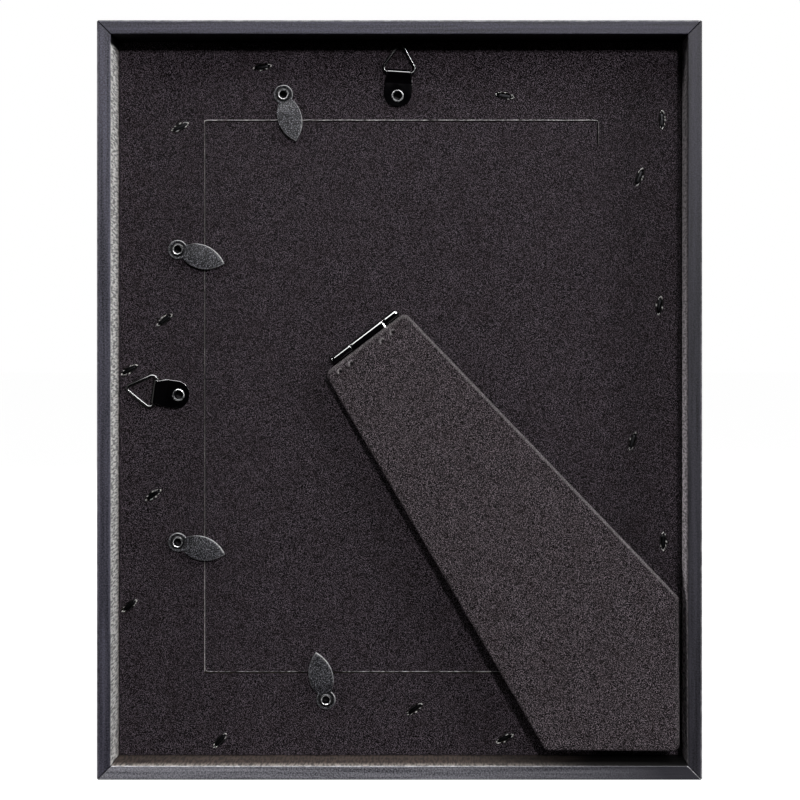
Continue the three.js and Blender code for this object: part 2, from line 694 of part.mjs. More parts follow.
// Leaf: its flat plate round a middle along the pin, a curled knuckle for each stretch of the
// barrel, and two rivet holes
function hingeLeaf(knuckles, middle, low, rivets) {
  const high = low + LEAF_THICK;
  const down = (plateStart + LEAF_LENGTH) / 2;
  const flat = block(LEAF_WIDTH, LEAF_LENGTH - plateStart, low, high);
  let leaf = flat.translate(middle, -down, 0);
  for (const [from, to] of knuckles) {
    const reach = plateStart + LEAF_THICK;
    const webFrom = Math.max(from, middle - LEAF_WIDTH / 2);
    const webTo = Math.min(to, middle + LEAF_WIDTH / 2);
    const web = block(webTo - webFrom, reach, low, high);
    web.translate((webFrom + webTo) / 2, -reach / 2, 0);
    leaf = join(leaf, web, barAlongX(KNUCKLE_RADIUS, from, to));
  }
  for (const [from, to] of knuckles) {
    leaf = cut(leaf, barAlongX(KNUCKLE_BORE, from - LEAF_PLAY, to + LEAF_PLAY));
  }
  for (const x of [middle - rivets.spread, middle + rivets.spread]) {
    const hole = bar(RIVET_RADIUS + RIVET_PLAY, low - RIVET_PLAY, high + RIVET_PLAY);
    leaf = cut(leaf, hole.translate(x, -rivets.row, 0));
  }
  return leaf;
}

const doorLeaf = hingeLeaf([leftKnuckle, rightKnuckle], 0, -KNUCKLE_RADIUS, DOOR_RIVETS);
add(hinge, "door_hinge_leaf", doorLeaf, BLACK_METAL);
const legLeafLow = KNUCKLE_RADIUS - LEAF_THICK;
const legLeaf = hingeLeaf([middleKnuckle], legLeafX, legLeafLow, LEG_RIVETS);
add(swing, "leg_hinge_leaf", legLeaf, BLACK_METAL);

const pinEnd = barrelEnd + SEAT_GAP;
const pin = join(
  barAlongX(PIN_RADIUS, -pinEnd - PIN_HEAD_THICK, pinEnd + PIN_HEAD_THICK),
  barAlongX(PIN_HEAD, -pinEnd - PIN_HEAD_THICK, -pinEnd),
  barAlongX(PIN_HEAD, pinEnd, pinEnd + PIN_HEAD_THICK),
);
add(hinge, "hinge_pin", pin, BLACK_METAL);

// Door rivets: head on the leaf, clinched foot sunk in the front of the door
const leafTop = LEAF_THICK - KNUCKLE_RADIUS;
const doorFront = SEAT_Z - BACK_Z - KNUCKLE_RADIUS;
const doorFoot = doorFront + SEAT_GAP;
const headLow = leafTop + SEAT_GAP;
const DOOR_RIVET = join(
  bar(RIVET_RADIUS, doorFoot, headLow + RIVET_HEAD_THICK),
  bar(RIVET_HEAD, headLow, headLow + RIVET_HEAD_THICK),
  bar(RIVET_HEAD, doorFoot, doorFoot + FOOT_THICK),
);
const RIVET_HOLE = bar(RIVET_RADIUS + RIVET_PLAY, doorFront - RIVET_PLAY, leafTop);
const FOOT_HOLE = bar(
  RIVET_HEAD + RIVET_PLAY,
  doorFront - RIVET_PLAY,
  doorFoot + FOOT_THICK + SEAT_GAP,
);
[-DOOR_RIVETS.spread, DOOR_RIVETS.spread].forEach((x, i) => {
  const at = place(hinge, x, -DOOR_RIVETS.row, 0);
  add(at, `door_rivet_${i + 1}`, DOOR_RIVET, EYELET_METAL);
  drill(coverPaper, at, RIVET_HOLE);
  drill(doorBoard, at, RIVET_HOLE);
  drill(doorBoard, at, FOOT_HOLE);
});

// Easel leg: its long sides spread from the hinge and end on the foot's level and upright edges
function legShape() {
  const footX = INSIDE_X - LEG_FOOT_GAP_SIDE;
  const footY = -INSIDE_Y + LEG_FOOT_GAP_BOTTOM;
  const pinPoint = new THREE.Vector2(hinge.position.x, hinge.position.y);
  const turn = degrees(hingeTurn);
  const topCorner = (x) =>
    new THREE.Vector2(x, -LEG_TOP_GAP).rotateAround(new THREE.Vector2(), turn).add(pinPoint);
  const left = topCorner(-LEG_TOP_LEFT);
  const right = topCorner(LEG_TOP_RIGHT);
  const leftSlope = Math.tan(degrees(LEG_ANGLE + LEG_TAPER));
  const rightSlope = Math.tan(degrees(LEG_ANGLE - LEG_TAPER));
  const corners = [
    [left, LEG_ROUND],
    [new THREE.Vector2(left.x + (left.y - footY) / leftSlope, footY), LEG_TIP_ROUND],
    [new THREE.Vector2(footX, footY), LEG_ROUND],
    [new THREE.Vector2(footX, right.y - (footX - right.x) * rightSlope), LEG_TIP_ROUND],
    [right, LEG_ROUND],
  ];
  return outline(
    corners.map(([point, radius]) => {
      const local = point.clone().sub(pinPoint).rotateAround(new THREE.Vector2(), -turn);
      return [local.x, local.y, radius];
    }),
  );
}

const legTop = legLeafLow + LEG_THICK;
const leafPocket = block(
  LEAF_WIDTH + 2 * LEAF_PLAY,
  LEAF_LENGTH + LEAF_PLAY,
  legLeafLow - LEAF_PLAY,
  legLeafLow + LEAF_THICK + LEAF_PLAY,
).translate(legLeafX, -(LEAF_LENGTH + LEAF_PLAY) / 2, 0);
const easelLeg = add(
  swing,
  "easel_leg",
  cut(softPlate(legShape(), legLeafLow, legTop, LEG_EDGE), leafPocket),
  LEG_PAPER,
);

// Leg rivets: head under the leaf, shank up into the leg, stopping short of its outer face
const shankEnd = legTop - RIVET_SKIN;
const legHeadHigh = legLeafLow - SEAT_GAP;
const LEG_RIVET = join(
  bar(RIVET_RADIUS, legHeadHigh - RIVET_HEAD_THICK, shankEnd),
  bar(RIVET_HEAD, legHeadHigh - RIVET_HEAD_THICK, legHeadHigh),
);
const LEG_RIVET_HOLE = bar(RIVET_RADIUS + RIVET_PLAY, legLeafLow, shankEnd + SEAT_GAP);
[legLeafX - LEG_RIVETS.spread, legLeafX + LEG_RIVETS.spread].forEach((x, i) => {
  const at = place(swing, x, -LEG_RIVETS.row, 0);
  add(at, `leg_rivet_${i + 1}`, LEG_RIVET, EYELET_METAL);
  drill(easelLeg, at, LEG_RIVET_HOLE);
});

export default frame;
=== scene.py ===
import json
import math

import bmesh
import bpy
import numpy as np
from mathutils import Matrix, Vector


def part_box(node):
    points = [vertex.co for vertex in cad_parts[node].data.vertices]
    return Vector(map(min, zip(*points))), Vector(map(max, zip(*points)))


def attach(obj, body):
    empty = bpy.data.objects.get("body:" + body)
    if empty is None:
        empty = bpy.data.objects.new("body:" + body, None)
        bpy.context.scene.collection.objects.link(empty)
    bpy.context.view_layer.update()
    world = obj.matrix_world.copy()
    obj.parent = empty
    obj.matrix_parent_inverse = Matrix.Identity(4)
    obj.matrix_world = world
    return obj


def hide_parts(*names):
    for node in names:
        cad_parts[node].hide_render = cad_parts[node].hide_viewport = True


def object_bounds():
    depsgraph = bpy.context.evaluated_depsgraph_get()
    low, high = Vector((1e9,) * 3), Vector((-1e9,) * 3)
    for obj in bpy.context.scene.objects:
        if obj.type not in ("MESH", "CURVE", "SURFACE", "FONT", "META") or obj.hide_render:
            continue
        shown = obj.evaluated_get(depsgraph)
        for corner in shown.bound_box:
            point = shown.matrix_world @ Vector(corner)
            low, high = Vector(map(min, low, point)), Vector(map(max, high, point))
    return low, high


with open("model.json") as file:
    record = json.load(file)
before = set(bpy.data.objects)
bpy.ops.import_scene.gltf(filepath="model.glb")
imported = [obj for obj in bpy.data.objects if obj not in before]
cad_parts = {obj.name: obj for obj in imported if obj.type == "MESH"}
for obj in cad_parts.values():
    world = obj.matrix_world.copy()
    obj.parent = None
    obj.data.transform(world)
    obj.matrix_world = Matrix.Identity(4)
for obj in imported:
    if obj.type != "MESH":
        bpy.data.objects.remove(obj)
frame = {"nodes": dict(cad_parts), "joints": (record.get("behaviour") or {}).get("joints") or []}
cad_box = [list(corner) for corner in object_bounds()]

# Rails: four lengths of one wooden moulding, stained black, mitred and nailed at the corners.
# The broad face looks forward and a thin wall stands up round the back. Inside that wall the
# stain lies thin over paler wood, and the wall's colours carry painted light and shade: each wall
# is as light as it is lit, the top wall is painted black for its shadow, and stretches near the
# ends are painted shadow of the top rail and of the leg.
MM = 0.001
RIM_ROUND = 0.6 * MM
INNER_ROUND = 0.35 * MM
FRONT_ROUND = 1.2 * MM
SIGHT_ROUND = 0.8 * MM
ARRIS = 0.06 * MM
SEAM_WIDTH = 0.28 * MM
SEAM_GAP = 0.01 * MM
GLASS_PLAY = 0.5 * MM
BOARD_PLAY = 0.3 * MM
RAIL_STATIONS = 9
END_STATIONS = (0.97, 0.98, 0.997, 1)
FRONT_WEAR = 0.06
ROUND_STEPS = 9
outer_low, outer_high = np.array(cad_box)
middle = (outer_low + outer_high) / 2
glass_low, glass_high = np.array(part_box("glass_pane"))
board_high = np.array(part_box("back_board")[1])
front, back = outer_high[1], outer_low[1]
face_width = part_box("rail_bottom")[1].z - outer_low[2]
pocket_edge = outer_high[0] - glass_high[0] - GLASS_PLAY
rim_width = outer_high[0] - board_high[0] - BOARD_PLAY


def shade(red, green, blue):
    """Colour as seen on a display, 0 to 255, turned into the linear colour that shaders take."""
    seen = np.array([red, green, blue]) / 255
    linear = np.where(seen <= 0.04045, seen / 12.92, ((seen + 0.055) / 1.055) ** 2.4)
    return (*linear, 1)


def unit(vectors):
    """Vectors divided by their lengths."""
    return vectors / np.linalg.norm(vectors, axis=-1, keepdims=True)


def rounded(corners, radii, closed=True, steps=ROUND_STEPS):
    """Path through corners, each turned into an arc. The arc's centre lies on the corner's bisector,
    at the radius from both sides, and its points turn evenly from one side to the other.
    An open path keeps its two ends."""
    corners = np.asarray(corners, float)
    turned = corners if closed else corners[1:-1]
    before = unit((np.roll(corners, 1, axis=0) if closed else corners[:-2]) - turned)
    after = unit((np.roll(corners, -1, axis=0) if closed else corners[2:]) - turned)
    half = np.arccos(np.clip((before * after).sum(axis=1), -1, 1))[:, None] / 2
    radii = np.broadcast_to(radii, len(turned))[:, None]
    centre = turned + unit(before + after) * radii / np.sin(half)
    start = turned + before * radii / np.tan(half) - centre
    end = turned + after * radii / np.tan(half) - centre
    quarter = np.stack([-start[:, 1], start[:, 0]], axis=1)
    turn = np.arctan2((quarter * end).sum(axis=1), (start * end).sum(axis=1))
    angle = turn[:, None, None] * np.linspace(0, 1, steps)[None, :, None]
    arcs = centre[:, None] + start[:, None] * np.cos(angle) + quarter[:, None] * np.sin(angle)
    path = arcs.reshape(-1, 2)
    return path if closed else np.vstack([corners[:1], path, corners[-1:]])


def quads_of(index):
    """Faces that each join four neighbours in a grid of point numbers."""
    return np.stack([index[:-1, :-1], index[:-1, 1:], index[1:, 1:], index[1:, :-1]], axis=-1)


def skin(name, grid, ends="flat", values=None, sharp=40):
    """Closed mesh over a grid of points, rows by columns. Four neighbours make a face and the last
    column joins the first; the end rows are closed flat, drawn to a point or joined to each other.
    values are numbers stored at the points, such as an edge's wear and painted highlight."""
    rows, columns = grid.shape[:2]
    points = grid.reshape(-1, 3)
    index = np.arange(rows * columns).reshape(rows, columns)
    loop = np.vstack([index, index[:1]]) if ends == "joined" else index
    loop = np.hstack([loop, loop[:, :1]])
    faces = quads_of(loop).reshape(-1, 4).tolist()
    if ends == "flat":
        faces += [index[0].tolist(), index[-1, ::-1].tolist()]
    if ends == "pointed":
        poles = np.stack([grid[0].mean(axis=0), grid[-1].mean(axis=0)])
        for row, pole in ((loop[0], len(points)), (loop[-1], len(points) + 1)):
            faces += np.stack([row[1:], row[:-1], np.full(columns, pole)], axis=1).tolist()
        points = np.vstack([points, poles])
    mesh = bpy.data.meshes.new(name)
    mesh.from_pydata(points, [], faces)
    shell = bmesh.new()
    shell.from_mesh(mesh)
    bmesh.ops.recalc_face_normals(shell, faces=shell.faces)
    shell.to_mesh(mesh)
    shell.free()
    for label, numbers in (values or {}).items():
        at_points = np.zeros(len(points), np.float32)
        at_points[: rows * columns] = np.broadcast_to(numbers, (rows, columns)).ravel()
        mesh.attributes.new(label, "FLOAT", "POINT").data.foreach_set("value", at_points)
    mesh.shade_smooth()
    mesh.set_sharp_from_angle(angle=math.radians(sharp))
    return mesh


def add_piece(name, mesh, material, body, slot, *nodes):
    """Puts a mesh into the scene as a piece that rides on a body and stands for CAD nodes."""
    piece = bpy.data.objects.new(name, mesh)
    bpy.context.scene.collection.objects.link(piece)
    mesh.materials.append(material)
    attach(piece, body)
    if nodes:
        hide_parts(*nodes)
    return piece


def keep_flat(piece):
    """Weights normals by face area, so that flat sides stay flat between their rounded edges."""
    piece.modifiers.new("flat_sides", "WEIGHTED_NORMAL").keep_sharp = True


def put(tree, kind, inputs=None, **settings):
    """Adds a node with its settings; each named input gets a value or is linked from a socket."""
    made = tree.nodes.new(kind)
    for key, value in settings.items():
        setattr(made, key, value)
    for key, value in (inputs or {}).items():
        if isinstance(value, bpy.types.NodeSocket):
            tree.links.new(value, made.inputs[key])
        else:
            made.inputs[key].default_value = value
    return made


def spread(tree, value, low, high, to_low=0.0, to_high=1.0):
    """Value stretched from one range to another and held inside it."""
    sockets = {"Value": value, "From Min": low, "From Max": high, "To Min": to_low, "To Max": to_high}
    return put(tree, "ShaderNodeMapRange", sockets).outputs[0]


def times(tree, first, second, operation="MULTIPLY"):
    """Two values multiplied, or joined by another operation."""
    return put(tree, "ShaderNodeMath", {0: first, 1: second}, operation=operation).outputs[0]


def mixed(tree, share, first, second):
    """Colour between two colours."""
    return put(tree, "ShaderNodeMix", {0: share, 6: first, 7: second}, data_type="RGBA").outputs[2]


def noise(tree, vector, scale, detail=2.0, roughness=0.5):
    """Value of smooth noise at a place."""
    sockets = {"Vector": vector, "Scale": scale, "Detail": detail, "Roughness": roughness}
    return put(tree, "ShaderNodeTexNoise", sockets).outputs[0]


def stored(tree, label):
    """Number stored at the points of the piece."""
    return put(tree, "ShaderNodeAttribute", attribute_name=label).outputs["Fac"]


def new_material(name, sockets):
    """Material of one shader whose plain sockets are set; gives it, its tree, its shader and the
    object's own coordinates."""
    material = bpy.data.materials.new(name)
    material.use_nodes = True
    tree = material.node_tree
    shader = tree.nodes["Principled BSDF"]
    for label, value in sockets.items():
        shader.inputs[label].default_value = value
    place = put(tree, "ShaderNodeTexCoord").outputs["Object"]
    return material, tree, shader, place


def finish_shader(tree, shader, colour, roughness, height, strength, depth):
    """Links a colour, a roughness and a relief of some depth to the shader."""
    relief = put(tree, "ShaderNodeBump", {"Height": height, "Strength": strength, "Distance": depth})
    tree.links.new(colour, shader.inputs["Base Color"])
    tree.links.new(roughness, shader.inputs["Roughness"])
    tree.links.new(relief.outputs["Normal"], shader.inputs["Normal"])


def shader_group(name, inputs, outputs):
    """Node group with named inputs and outputs; gives it, its source sockets and its end node."""
    group = bpy.data.node_groups.new(name, "ShaderNodeTree")
    for label, kind in inputs.items():
        group.interface.new_socket(name=label, in_out="INPUT", socket_type=kind)
    for label in outputs:
        group.interface.new_socket(name=label, in_out="OUTPUT", socket_type="NodeSocketFloat")
    return group, put(group, "NodeGroupInput").outputs, put(group, "NodeGroupOutput")


# Stained grain: long streaks, short pores and fine grit, from coordinates stretched along the rail.
grain, grain_in, grain_out = shader_group(
    "stained_grain", {"Vector": "NodeSocketVector", "Grit": "NodeSocketVector"}, ["Streak", "Pore", "Grit"]
)
streak = noise(grain, grain_in["Vector"], 1.0, 5.0, 0.62)
pore = noise(grain, grain_in["Vector"], 3.4, 3.0, 0.7)
grit = noise(grain, grain_in["Grit"], 1900.0, 2.0, 0.7)
grain.links.new(spread(grain, streak, 0.38, 0.64), grain_out.inputs["Streak"])
grain.links.new(spread(grain, pore, 0.5, 0.72), grain_out.inputs["Pore"])
grain.links.new(spread(grain, grit, 0.4, 0.62), grain_out.inputs["Grit"])

GRAIN_ALONG = 16
GRAIN_ACROSS = 700
GRAIN_TURN = 0.6
FACE_STAIN = (shade(14, 13, 15), shade(54, 52, 56))
# Dark of the saw marks, and also the painted shade on walls that lie in shadow.
WALL_DARK = shade(10, 9, 10)
# Bare wood on worn edges, and the painted highlight on edges that face the light.
WORN_WOOD_AND_HIGHLIGHT = shade(232, 231, 235)
SEAM_DARK = shade(5, 5, 6)


def wood_material(name, run, rim_stain_and_shade, wall, change):
    """Black-stained wood: streaks along the rail and grit over it. The rim takes its own pair of
    colours on each rail, which are painted light and shade over the same black staining, and it goes
    darker where the stored darkened share is high. The inner wall goes from one colour near the rim
    to another near the board, with saw marks across it, and turns to painted shade where its stored
    pale share is low. Edges show bare wood with a painted highlight, and the mitres are dark."""
    material, tree, shader, place = new_material(name, {"Specular IOR Level": 0.14})
    stretch = [GRAIN_ALONG if part else GRAIN_ACROSS for part in run]
    turned = [GRAIN_TURN * part for part in run]
    sockets = {"Vector": place, "Scale": stretch, "Rotation": turned}
    along = put(tree, "ShaderNodeMapping", sockets).outputs[0]
    wood = put(tree, "ShaderNodeGroup", {"Vector": along, "Grit": place}, node_tree=grain).outputs
    tone = times(tree, times(tree, wood["Streak"], 0.5), times(tree, wood["Grit"], 0.5), "ADD")
    rim = mixed(tree, stored(tree, "darkened"), mixed(tree, tone, *rim_stain_and_shade), rim_stain_and_shade[0])
    colour = mixed(tree, stored(tree, "rim"), mixed(tree, tone, *FACE_STAIN), rim)
    # The wall's two colours are painted light: each wall is as light as it is lit, and the top wall is black
    # for its shadow.
    inside = mixed(tree, spread(tree, stored(tree, "depth"), *change), *wall)
    across = put(tree, "ShaderNodeMapping", {"Vector": place, "Scale": (1.0, 0.15, 1.0)}).outputs[0]
    saw = spread(tree, noise(tree, across, 1500.0, 1.0), 0.4, 0.62, 0.0, 0.7)
    inside = mixed(tree, saw, inside, WALL_DARK)
    # Where the stored pale share is low, the wall turns to painted shade.
    inside = mixed(tree, stored(tree, "pale"), WALL_DARK, inside)
    colour = mixed(tree, stored(tree, "wall"), colour, inside)
    # Edges go pale where the stored edge share is high: wear, plus a painted highlight where they face the
    # light.
    rub_and_highlight = spread(tree, noise(tree, place, 420.0, 6.0, 0.7), 0.42, 0.6, 0.3, 1.0)
    colour = mixed(tree, times(tree, rub_and_highlight, stored(tree, "edge")), colour, WORN_WOOD_AND_HIGHLIGHT)
    colour = mixed(tree, stored(tree, "seam"), colour, SEAM_DARK)
    gloss = spread(tree, wood["Streak"], 0.0, 1.0, 0.46, 0.62)
    height = times(tree, wood["Grit"], times(tree, wood["Pore"], wood["Streak"], "ADD"), "ADD")
    finish_shader(tree, shader, colour, gloss, height, 0.2, 0.1 * MM)
    return material


# Rail colours: the rim's pair differs from rail to rail as painted light and shade on one black stain, and is
# lightest on the bottom rail. The wall's pair carries painted light, set by how each wall is lit, and the top
# wall is painted black for its shadow. The edge shares give the rim edges wear, plus a painted highlight on
# edges that face the light. Where the pale share drops along a rail, its wall takes painted shade.
RAILS = {
    "bottom": {
        "at": (middle[0], 0, outer_low[2]), "run": (1, 0, 0), "inwards": (0, 0, 1), "half": outer_high[0],
        "rim_stain_and_light": (shade(36, 35, 42), shade(150, 149, 157)),
        "wall": (shade(200, 190, 182), shade(100, 87, 81)),
        "change": (0.05, 0.3), "edges": (0.2, 1.0), "burr": 0.8,
        "pale": ((-1, 0.2, 0.4, 0.5, 1), (1, 1, 0.6, 0.05, 0)),
        "darkened": ((-1, 0, 0.55, 0.9, 1), (0, 0.05, 0.5, 1, 1)),
    },
    "right": {
        "at": (outer_high[0], 0, middle[2]), "run": (0, 0, 1), "inwards": (-1, 0, 0), "half": middle[2],
        "rim_stain_and_light": (shade(7, 6, 12), shade(53, 51, 61)), "wall": (shade(82, 78, 84), shade(244, 234, 239)),
        "change": (0.0, 0.3), "edges": (0.4, 0.04), "burr": 0,
        "pale": ((-1, -0.2, 0.5, 1), (1, 1, 0.4, 0.2)), "darkened": ((-1, 1), (0.1, 0)),
    },
    "top": {
        "at": (middle[0], 0, outer_high[2]), "run": (1, 0, 0), "inwards": (0, 0, -1), "half": outer_high[0],
        "rim_stain_and_light": (shade(4, 3, 9), shade(64, 62, 78)), "wall": (shade(3, 3, 4), shade(3, 3, 4)),
        "change": (0.0, 1.0), "edges": (0.4, 0.0), "burr": 0,
        "pale": ((-1, 1), (1, 1)), "darkened": ((-1, 0, 1), (0, 0, 0.2)),
    },
    "left": {
        "at": (outer_low[0], 0, middle[2]), "run": (0, 0, 1), "inwards": (1, 0, 0), "half": middle[2],
        "rim_stain_and_light": (shade(12, 11, 20), shade(82, 80, 95)), "wall": (shade(255, 253, 251), shade(120, 110, 108)),
        "change": (0.5, 0.95), "edges": (0.3, 0.4), "burr": 0,
        "pale": ((-1, 0, 0.97, 0.98, 1), (0.8, 1, 1, 0, 0)), "darkened": ((-1, 0, 1), (0.2, 0, 0)),
    },
}
rail_corners = [
    (0, front), (face_width, front), (face_width, glass_high[1]), (pocket_edge, glass_high[1]),
    (pocket_edge, board_high[1]), (rim_width, board_high[1]), (rim_width, back), (0, back),
]
rail_rounds = [FRONT_ROUND, SIGHT_ROUND, ARRIS, ARRIS, ARRIS, ARRIS, INNER_ROUND, RIM_ROUND]
profile = rounded(rail_corners, rail_rounds)
tangent = unit(np.roll(profile, -1, axis=0) - np.roll(profile, 1, axis=0))
inset = profile + SEAM_WIDTH * np.stack([tangent[:, 1], -tangent[:, 0]], axis=1)
stations = np.concatenate([np.linspace(-1, 0.9, RAIL_STATIONS), END_STATIONS])
sections = np.stack([inset] + [profile] * len(stations) + [inset])
inwards, depths = sections[..., 0], sections[..., 1]
on_wall = (np.abs(profile[:, 0] - rim_width) < ARRIS / 2) & (profile[:, 1] < board_high[1] - ARRIS / 2)
on_rim = profile[:, 1] < back + INNER_ROUND - ARRIS / 2
wall_depth = np.clip((profile[:, 1] - back) / (board_high[1] - back), 0, 1)
hump = np.sin(np.linspace(0, math.pi, ROUND_STEPS))
at_end = np.array([1.0] + [0.0] * len(stations) + [1.0])[:, None]
ends = np.concatenate([[-1], stations, [1]])[:, None]
for side, rail in RAILS.items():
    # Each end is drawn in by as much as a point lies inwards, which makes the mitre; at the mitre
    # itself the section shrinks, so that a fine groove shows there.
    along = ends * (rail["half"] - inwards - np.where(at_end, SEAM_GAP, SEAM_WIDTH))
    grid = np.array(rail["at"]) + along[..., None] * np.array(rail["run"])
    grid = grid + inwards[..., None] * np.array(rail["inwards"])
    grid[..., 1] = depths
    outer_edge, inner_edge = rail["edges"]
    shares = (FRONT_WEAR, FRONT_WEAR, 0, 0, 0, 0, inner_edge, outer_edge)
    edge_wear_and_highlight = np.concatenate([hump * share for share in shares])
    pale = np.interp(ends, *rail["pale"])
    # The rim's darkened share grows towards some ends of the rails, most of all at the bottom right.
    darkened = np.interp(ends, *rail["darkened"])
    burr = rail["burr"] * (ends == 1) * (profile[:, 1] < back + INNER_ROUND)
    # Edge wear and its painted highlight fade where the wall is in painted shade; the burr at the bottom
    # rail's right end is pale wood.
    wear_and_light = np.maximum(edge_wear_and_highlight * pale, burr)
    values = {"wall": on_wall, "depth": wall_depth, "rim": on_rim, "seam": at_end}
    values.update({"pale": pale, "darkened": darkened, "edge": wear_and_light})
    material = wood_material(f"stain_and_painted_light_{side}", rail["run"], rail["rim_stain_and_light"], rail["wall"], rail["change"])
    mesh = skin(f"stained_rail_{side}", grid, "flat", values)
    keep_flat(add_piece(f"stained_rail_{side}", mesh, material, "frame", "black_wood", f"rail_{side}"))

# Corner nails: eight V-shaped steel strips pressed across the mitres from the back, two to a corner.
# They lie in the wood under the back board.
# Metal wear: fine scratches across each other, soft smears and small pits.
wear, wear_in, wear_out = shader_group(
    "metal_wear", {"Vector": "NodeSocketVector", "Size": "NodeSocketFloat"}, ["Scratch", "Smear", "Pit"]
)
scratches = []
for turn in (0.4, 2.1):
    sockets = {"Vector": wear_in["Vector"], "Rotation": (turn, turn, turn), "Scale": (16.0, 1.0, 1.0)}
    turned = put(wear, "ShaderNodeMapping", sockets, vector_type="TEXTURE").outputs[0]
    lines = noise(wear, turned, wear_in["Size"], 2.0, 0.6)
    scratches.append(spread(wear, lines, 0.6, 0.7))
wear.links.new(times(wear, *scratches, "MAXIMUM"), wear_out.inputs["Scratch"])
smear = noise(wear, wear_in["Vector"], times(wear, wear_in["Size"], 0.12), 3.0, 0.6)
wear.links.new(spread(wear, smear, 0.3, 0.7), wear_out.inputs["Smear"])
pit = noise(wear, wear_in["Vector"], times(wear, wear_in["Size"], 0.9), 3.0, 0.7)
wear.links.new(spread(wear, pit, 0.35, 0.65), wear_out.inputs["Pit"])


def metal_material(name, sockets, size, dark, light, rough_low, rough_high, relief, edge_colour=None):
    """Metal or paint on metal: two shades by its smears and scratches, uneven gloss, fine pits.
    With an edge colour, it goes bright where the stored edge value is high: wear and painted highlight."""
    material, tree, shader, place = new_material(name, sockets)
    marks = put(tree, "ShaderNodeGroup", {"Vector": place, "Size": size}, node_tree=wear).outputs
    share = times(tree, times(tree, marks["Smear"], 0.5), times(tree, marks["Scratch"], 0.5), "ADD")
    colour = mixed(tree, share, dark, light)
    if edge_colour:
        rub_and_highlight = times(tree, stored(tree, "edge"), spread(tree, marks["Pit"], 0.2, 0.7, 0.1, 1.0))
        colour = mixed(tree, rub_and_highlight, colour, edge_colour)
    gloss = spread(tree, marks["Smear"], 0.0, 1.0, rough_low, rough_high)
    finish_shader(tree, shader, colour, gloss, marks["Pit"], relief, 0.05 * MM)
    return material


def dress(node, material):
    """Gives a CAD node that keeps its own shape its finish."""
    materials = frame["nodes"][node].data.materials
    materials.clear()
    materials.append(material)


nail_steel = metal_material(
    "nail_steel", {"Metallic": 1.0}, 1500.0, shade(96, 95, 94), shade(150, 149, 146), 0.3, 0.5, 0.2
)
for corner in ("bottom_left", "bottom_right", "top_right", "top_left"):
    for number in (1, 2):
        dress(f"corner_nail_{corner}_{number}", nail_steel)

# Glass: one cut pane of float glass with ground edges, lying behind the lips of the rails.
# Faint smears on it come from handling. The lamps shine through it on the sheet.
GLASS_EDGE = 0.3 * MM
GLASS_CORNER = 0.6 * MM


def edged_slab(outline, near, far, edge):
    """Plate over a closed outline given in x and z: from each face a quarter circle of the edge's
    radius rolls over into the side, as rings that shrink along the outline's normals."""
    tangent = unit(np.roll(outline, -1, axis=0) - np.roll(outline, 1, axis=0))
    inward = np.stack([-tangent[:, 1], tangent[:, 0]], axis=1)
    roll = np.linspace(0, math.pi / 2, 6)
    inset = edge * np.concatenate([1 - np.sin(roll), 1 - np.cos(roll)])
    level = np.concatenate([near + edge * (1 - np.cos(roll)), far - edge * (1 - np.sin(roll))])
    flat = outline[None] + inset[:, None, None] * inward[None]
    levels = np.broadcast_to(level[:, None], flat.shape[:2])
    return np.stack([flat[..., 0], levels, flat[..., 1]], axis=-1)


def rectangle(low, high):
    """Corners of a box's side in x and z, anticlockwise."""
    return [(low[0], low[2]), (high[0], low[2]), (high[0], high[2]), (low[0], high[2])]


clear_glass, tree, shader, place = new_material(
    "clear_glass",
    {"Base Color": shade(244, 250, 247), "Transmission Weight": 1.0, "IOR": 1.5, "Specular IOR Level": 0.5},
)
smears = spread(tree, noise(tree, place, 40.0, 6.0, 0.7), 0.45, 0.8, 0.0, 0.09)
tree.links.new(smears, shader.inputs["Roughness"])
lamp_ray = put(tree, "ShaderNodeLightPath").outputs["Is Shadow Ray"]
passed = put(tree, "ShaderNodeBsdfTransparent").outputs[0]
pane = put(tree, "ShaderNodeMixShader", {0: lamp_ray, 1: shader.outputs[0], 2: passed}).outputs[0]
tree.links.new(pane, tree.nodes["Material Output"].inputs["Surface"])
outline = rounded(rectangle(glass_low, glass_high), GLASS_CORNER)
mesh = skin("cut_glass", edged_slab(outline, glass_low[1], glass_high[1], GLASS_EDGE))
keep_flat(add_piece("cut_glass", mesh, clear_glass, "frame", "clear_glass", "glass_pane"))

# Picture sheet: a plain sheet of matt white paper behind the glass, left bare.
# It is held flat between the glass and the filler card.
# Paper fibre: fine speckle, longer fibres and broad patches.
fibre, fibre_in, fibre_out = shader_group(
    "paper_fibre", {"Vector": "NodeSocketVector", "Size": "NodeSocketFloat"}, ["Speckle", "Fibre", "Patch"]
)
sockets = {"Vector": fibre_in["Vector"], "Rotation": (0.6, 0.5, 0.8)}
tilted = put(fibre, "ShaderNodeMapping", sockets).outputs[0]
speckle = noise(fibre, tilted, fibre_in["Size"], 0.3, 0.5)
fibre.links.new(spread(fibre, speckle, 0.52, 0.68), fibre_out.inputs["Speckle"])
threads = []
for turn in (0.7, 2.3, 3.9):
    sockets = {"Vector": fibre_in["Vector"], "Rotation": (0.0, turn, 0.0), "Scale": (5.0, 1.0, 1.0)}
    turned = put(fibre, "ShaderNodeMapping", sockets, vector_type="TEXTURE").outputs[0]
    threads.append(spread(fibre, noise(fibre, turned, fibre_in["Size"], 1.0), 0.6, 0.72))
thread = times(fibre, times(fibre, threads[0], threads[1], "MAXIMUM"), threads[2], "MAXIMUM")
fibre.links.new(thread, fibre_out.inputs["Fibre"])
patch = noise(fibre, fibre_in["Vector"], times(fibre, fibre_in["Size"], 0.045), 3.0, 0.6)
fibre.links.new(spread(fibre, patch, 0.32, 0.68), fibre_out.inputs["Patch"])


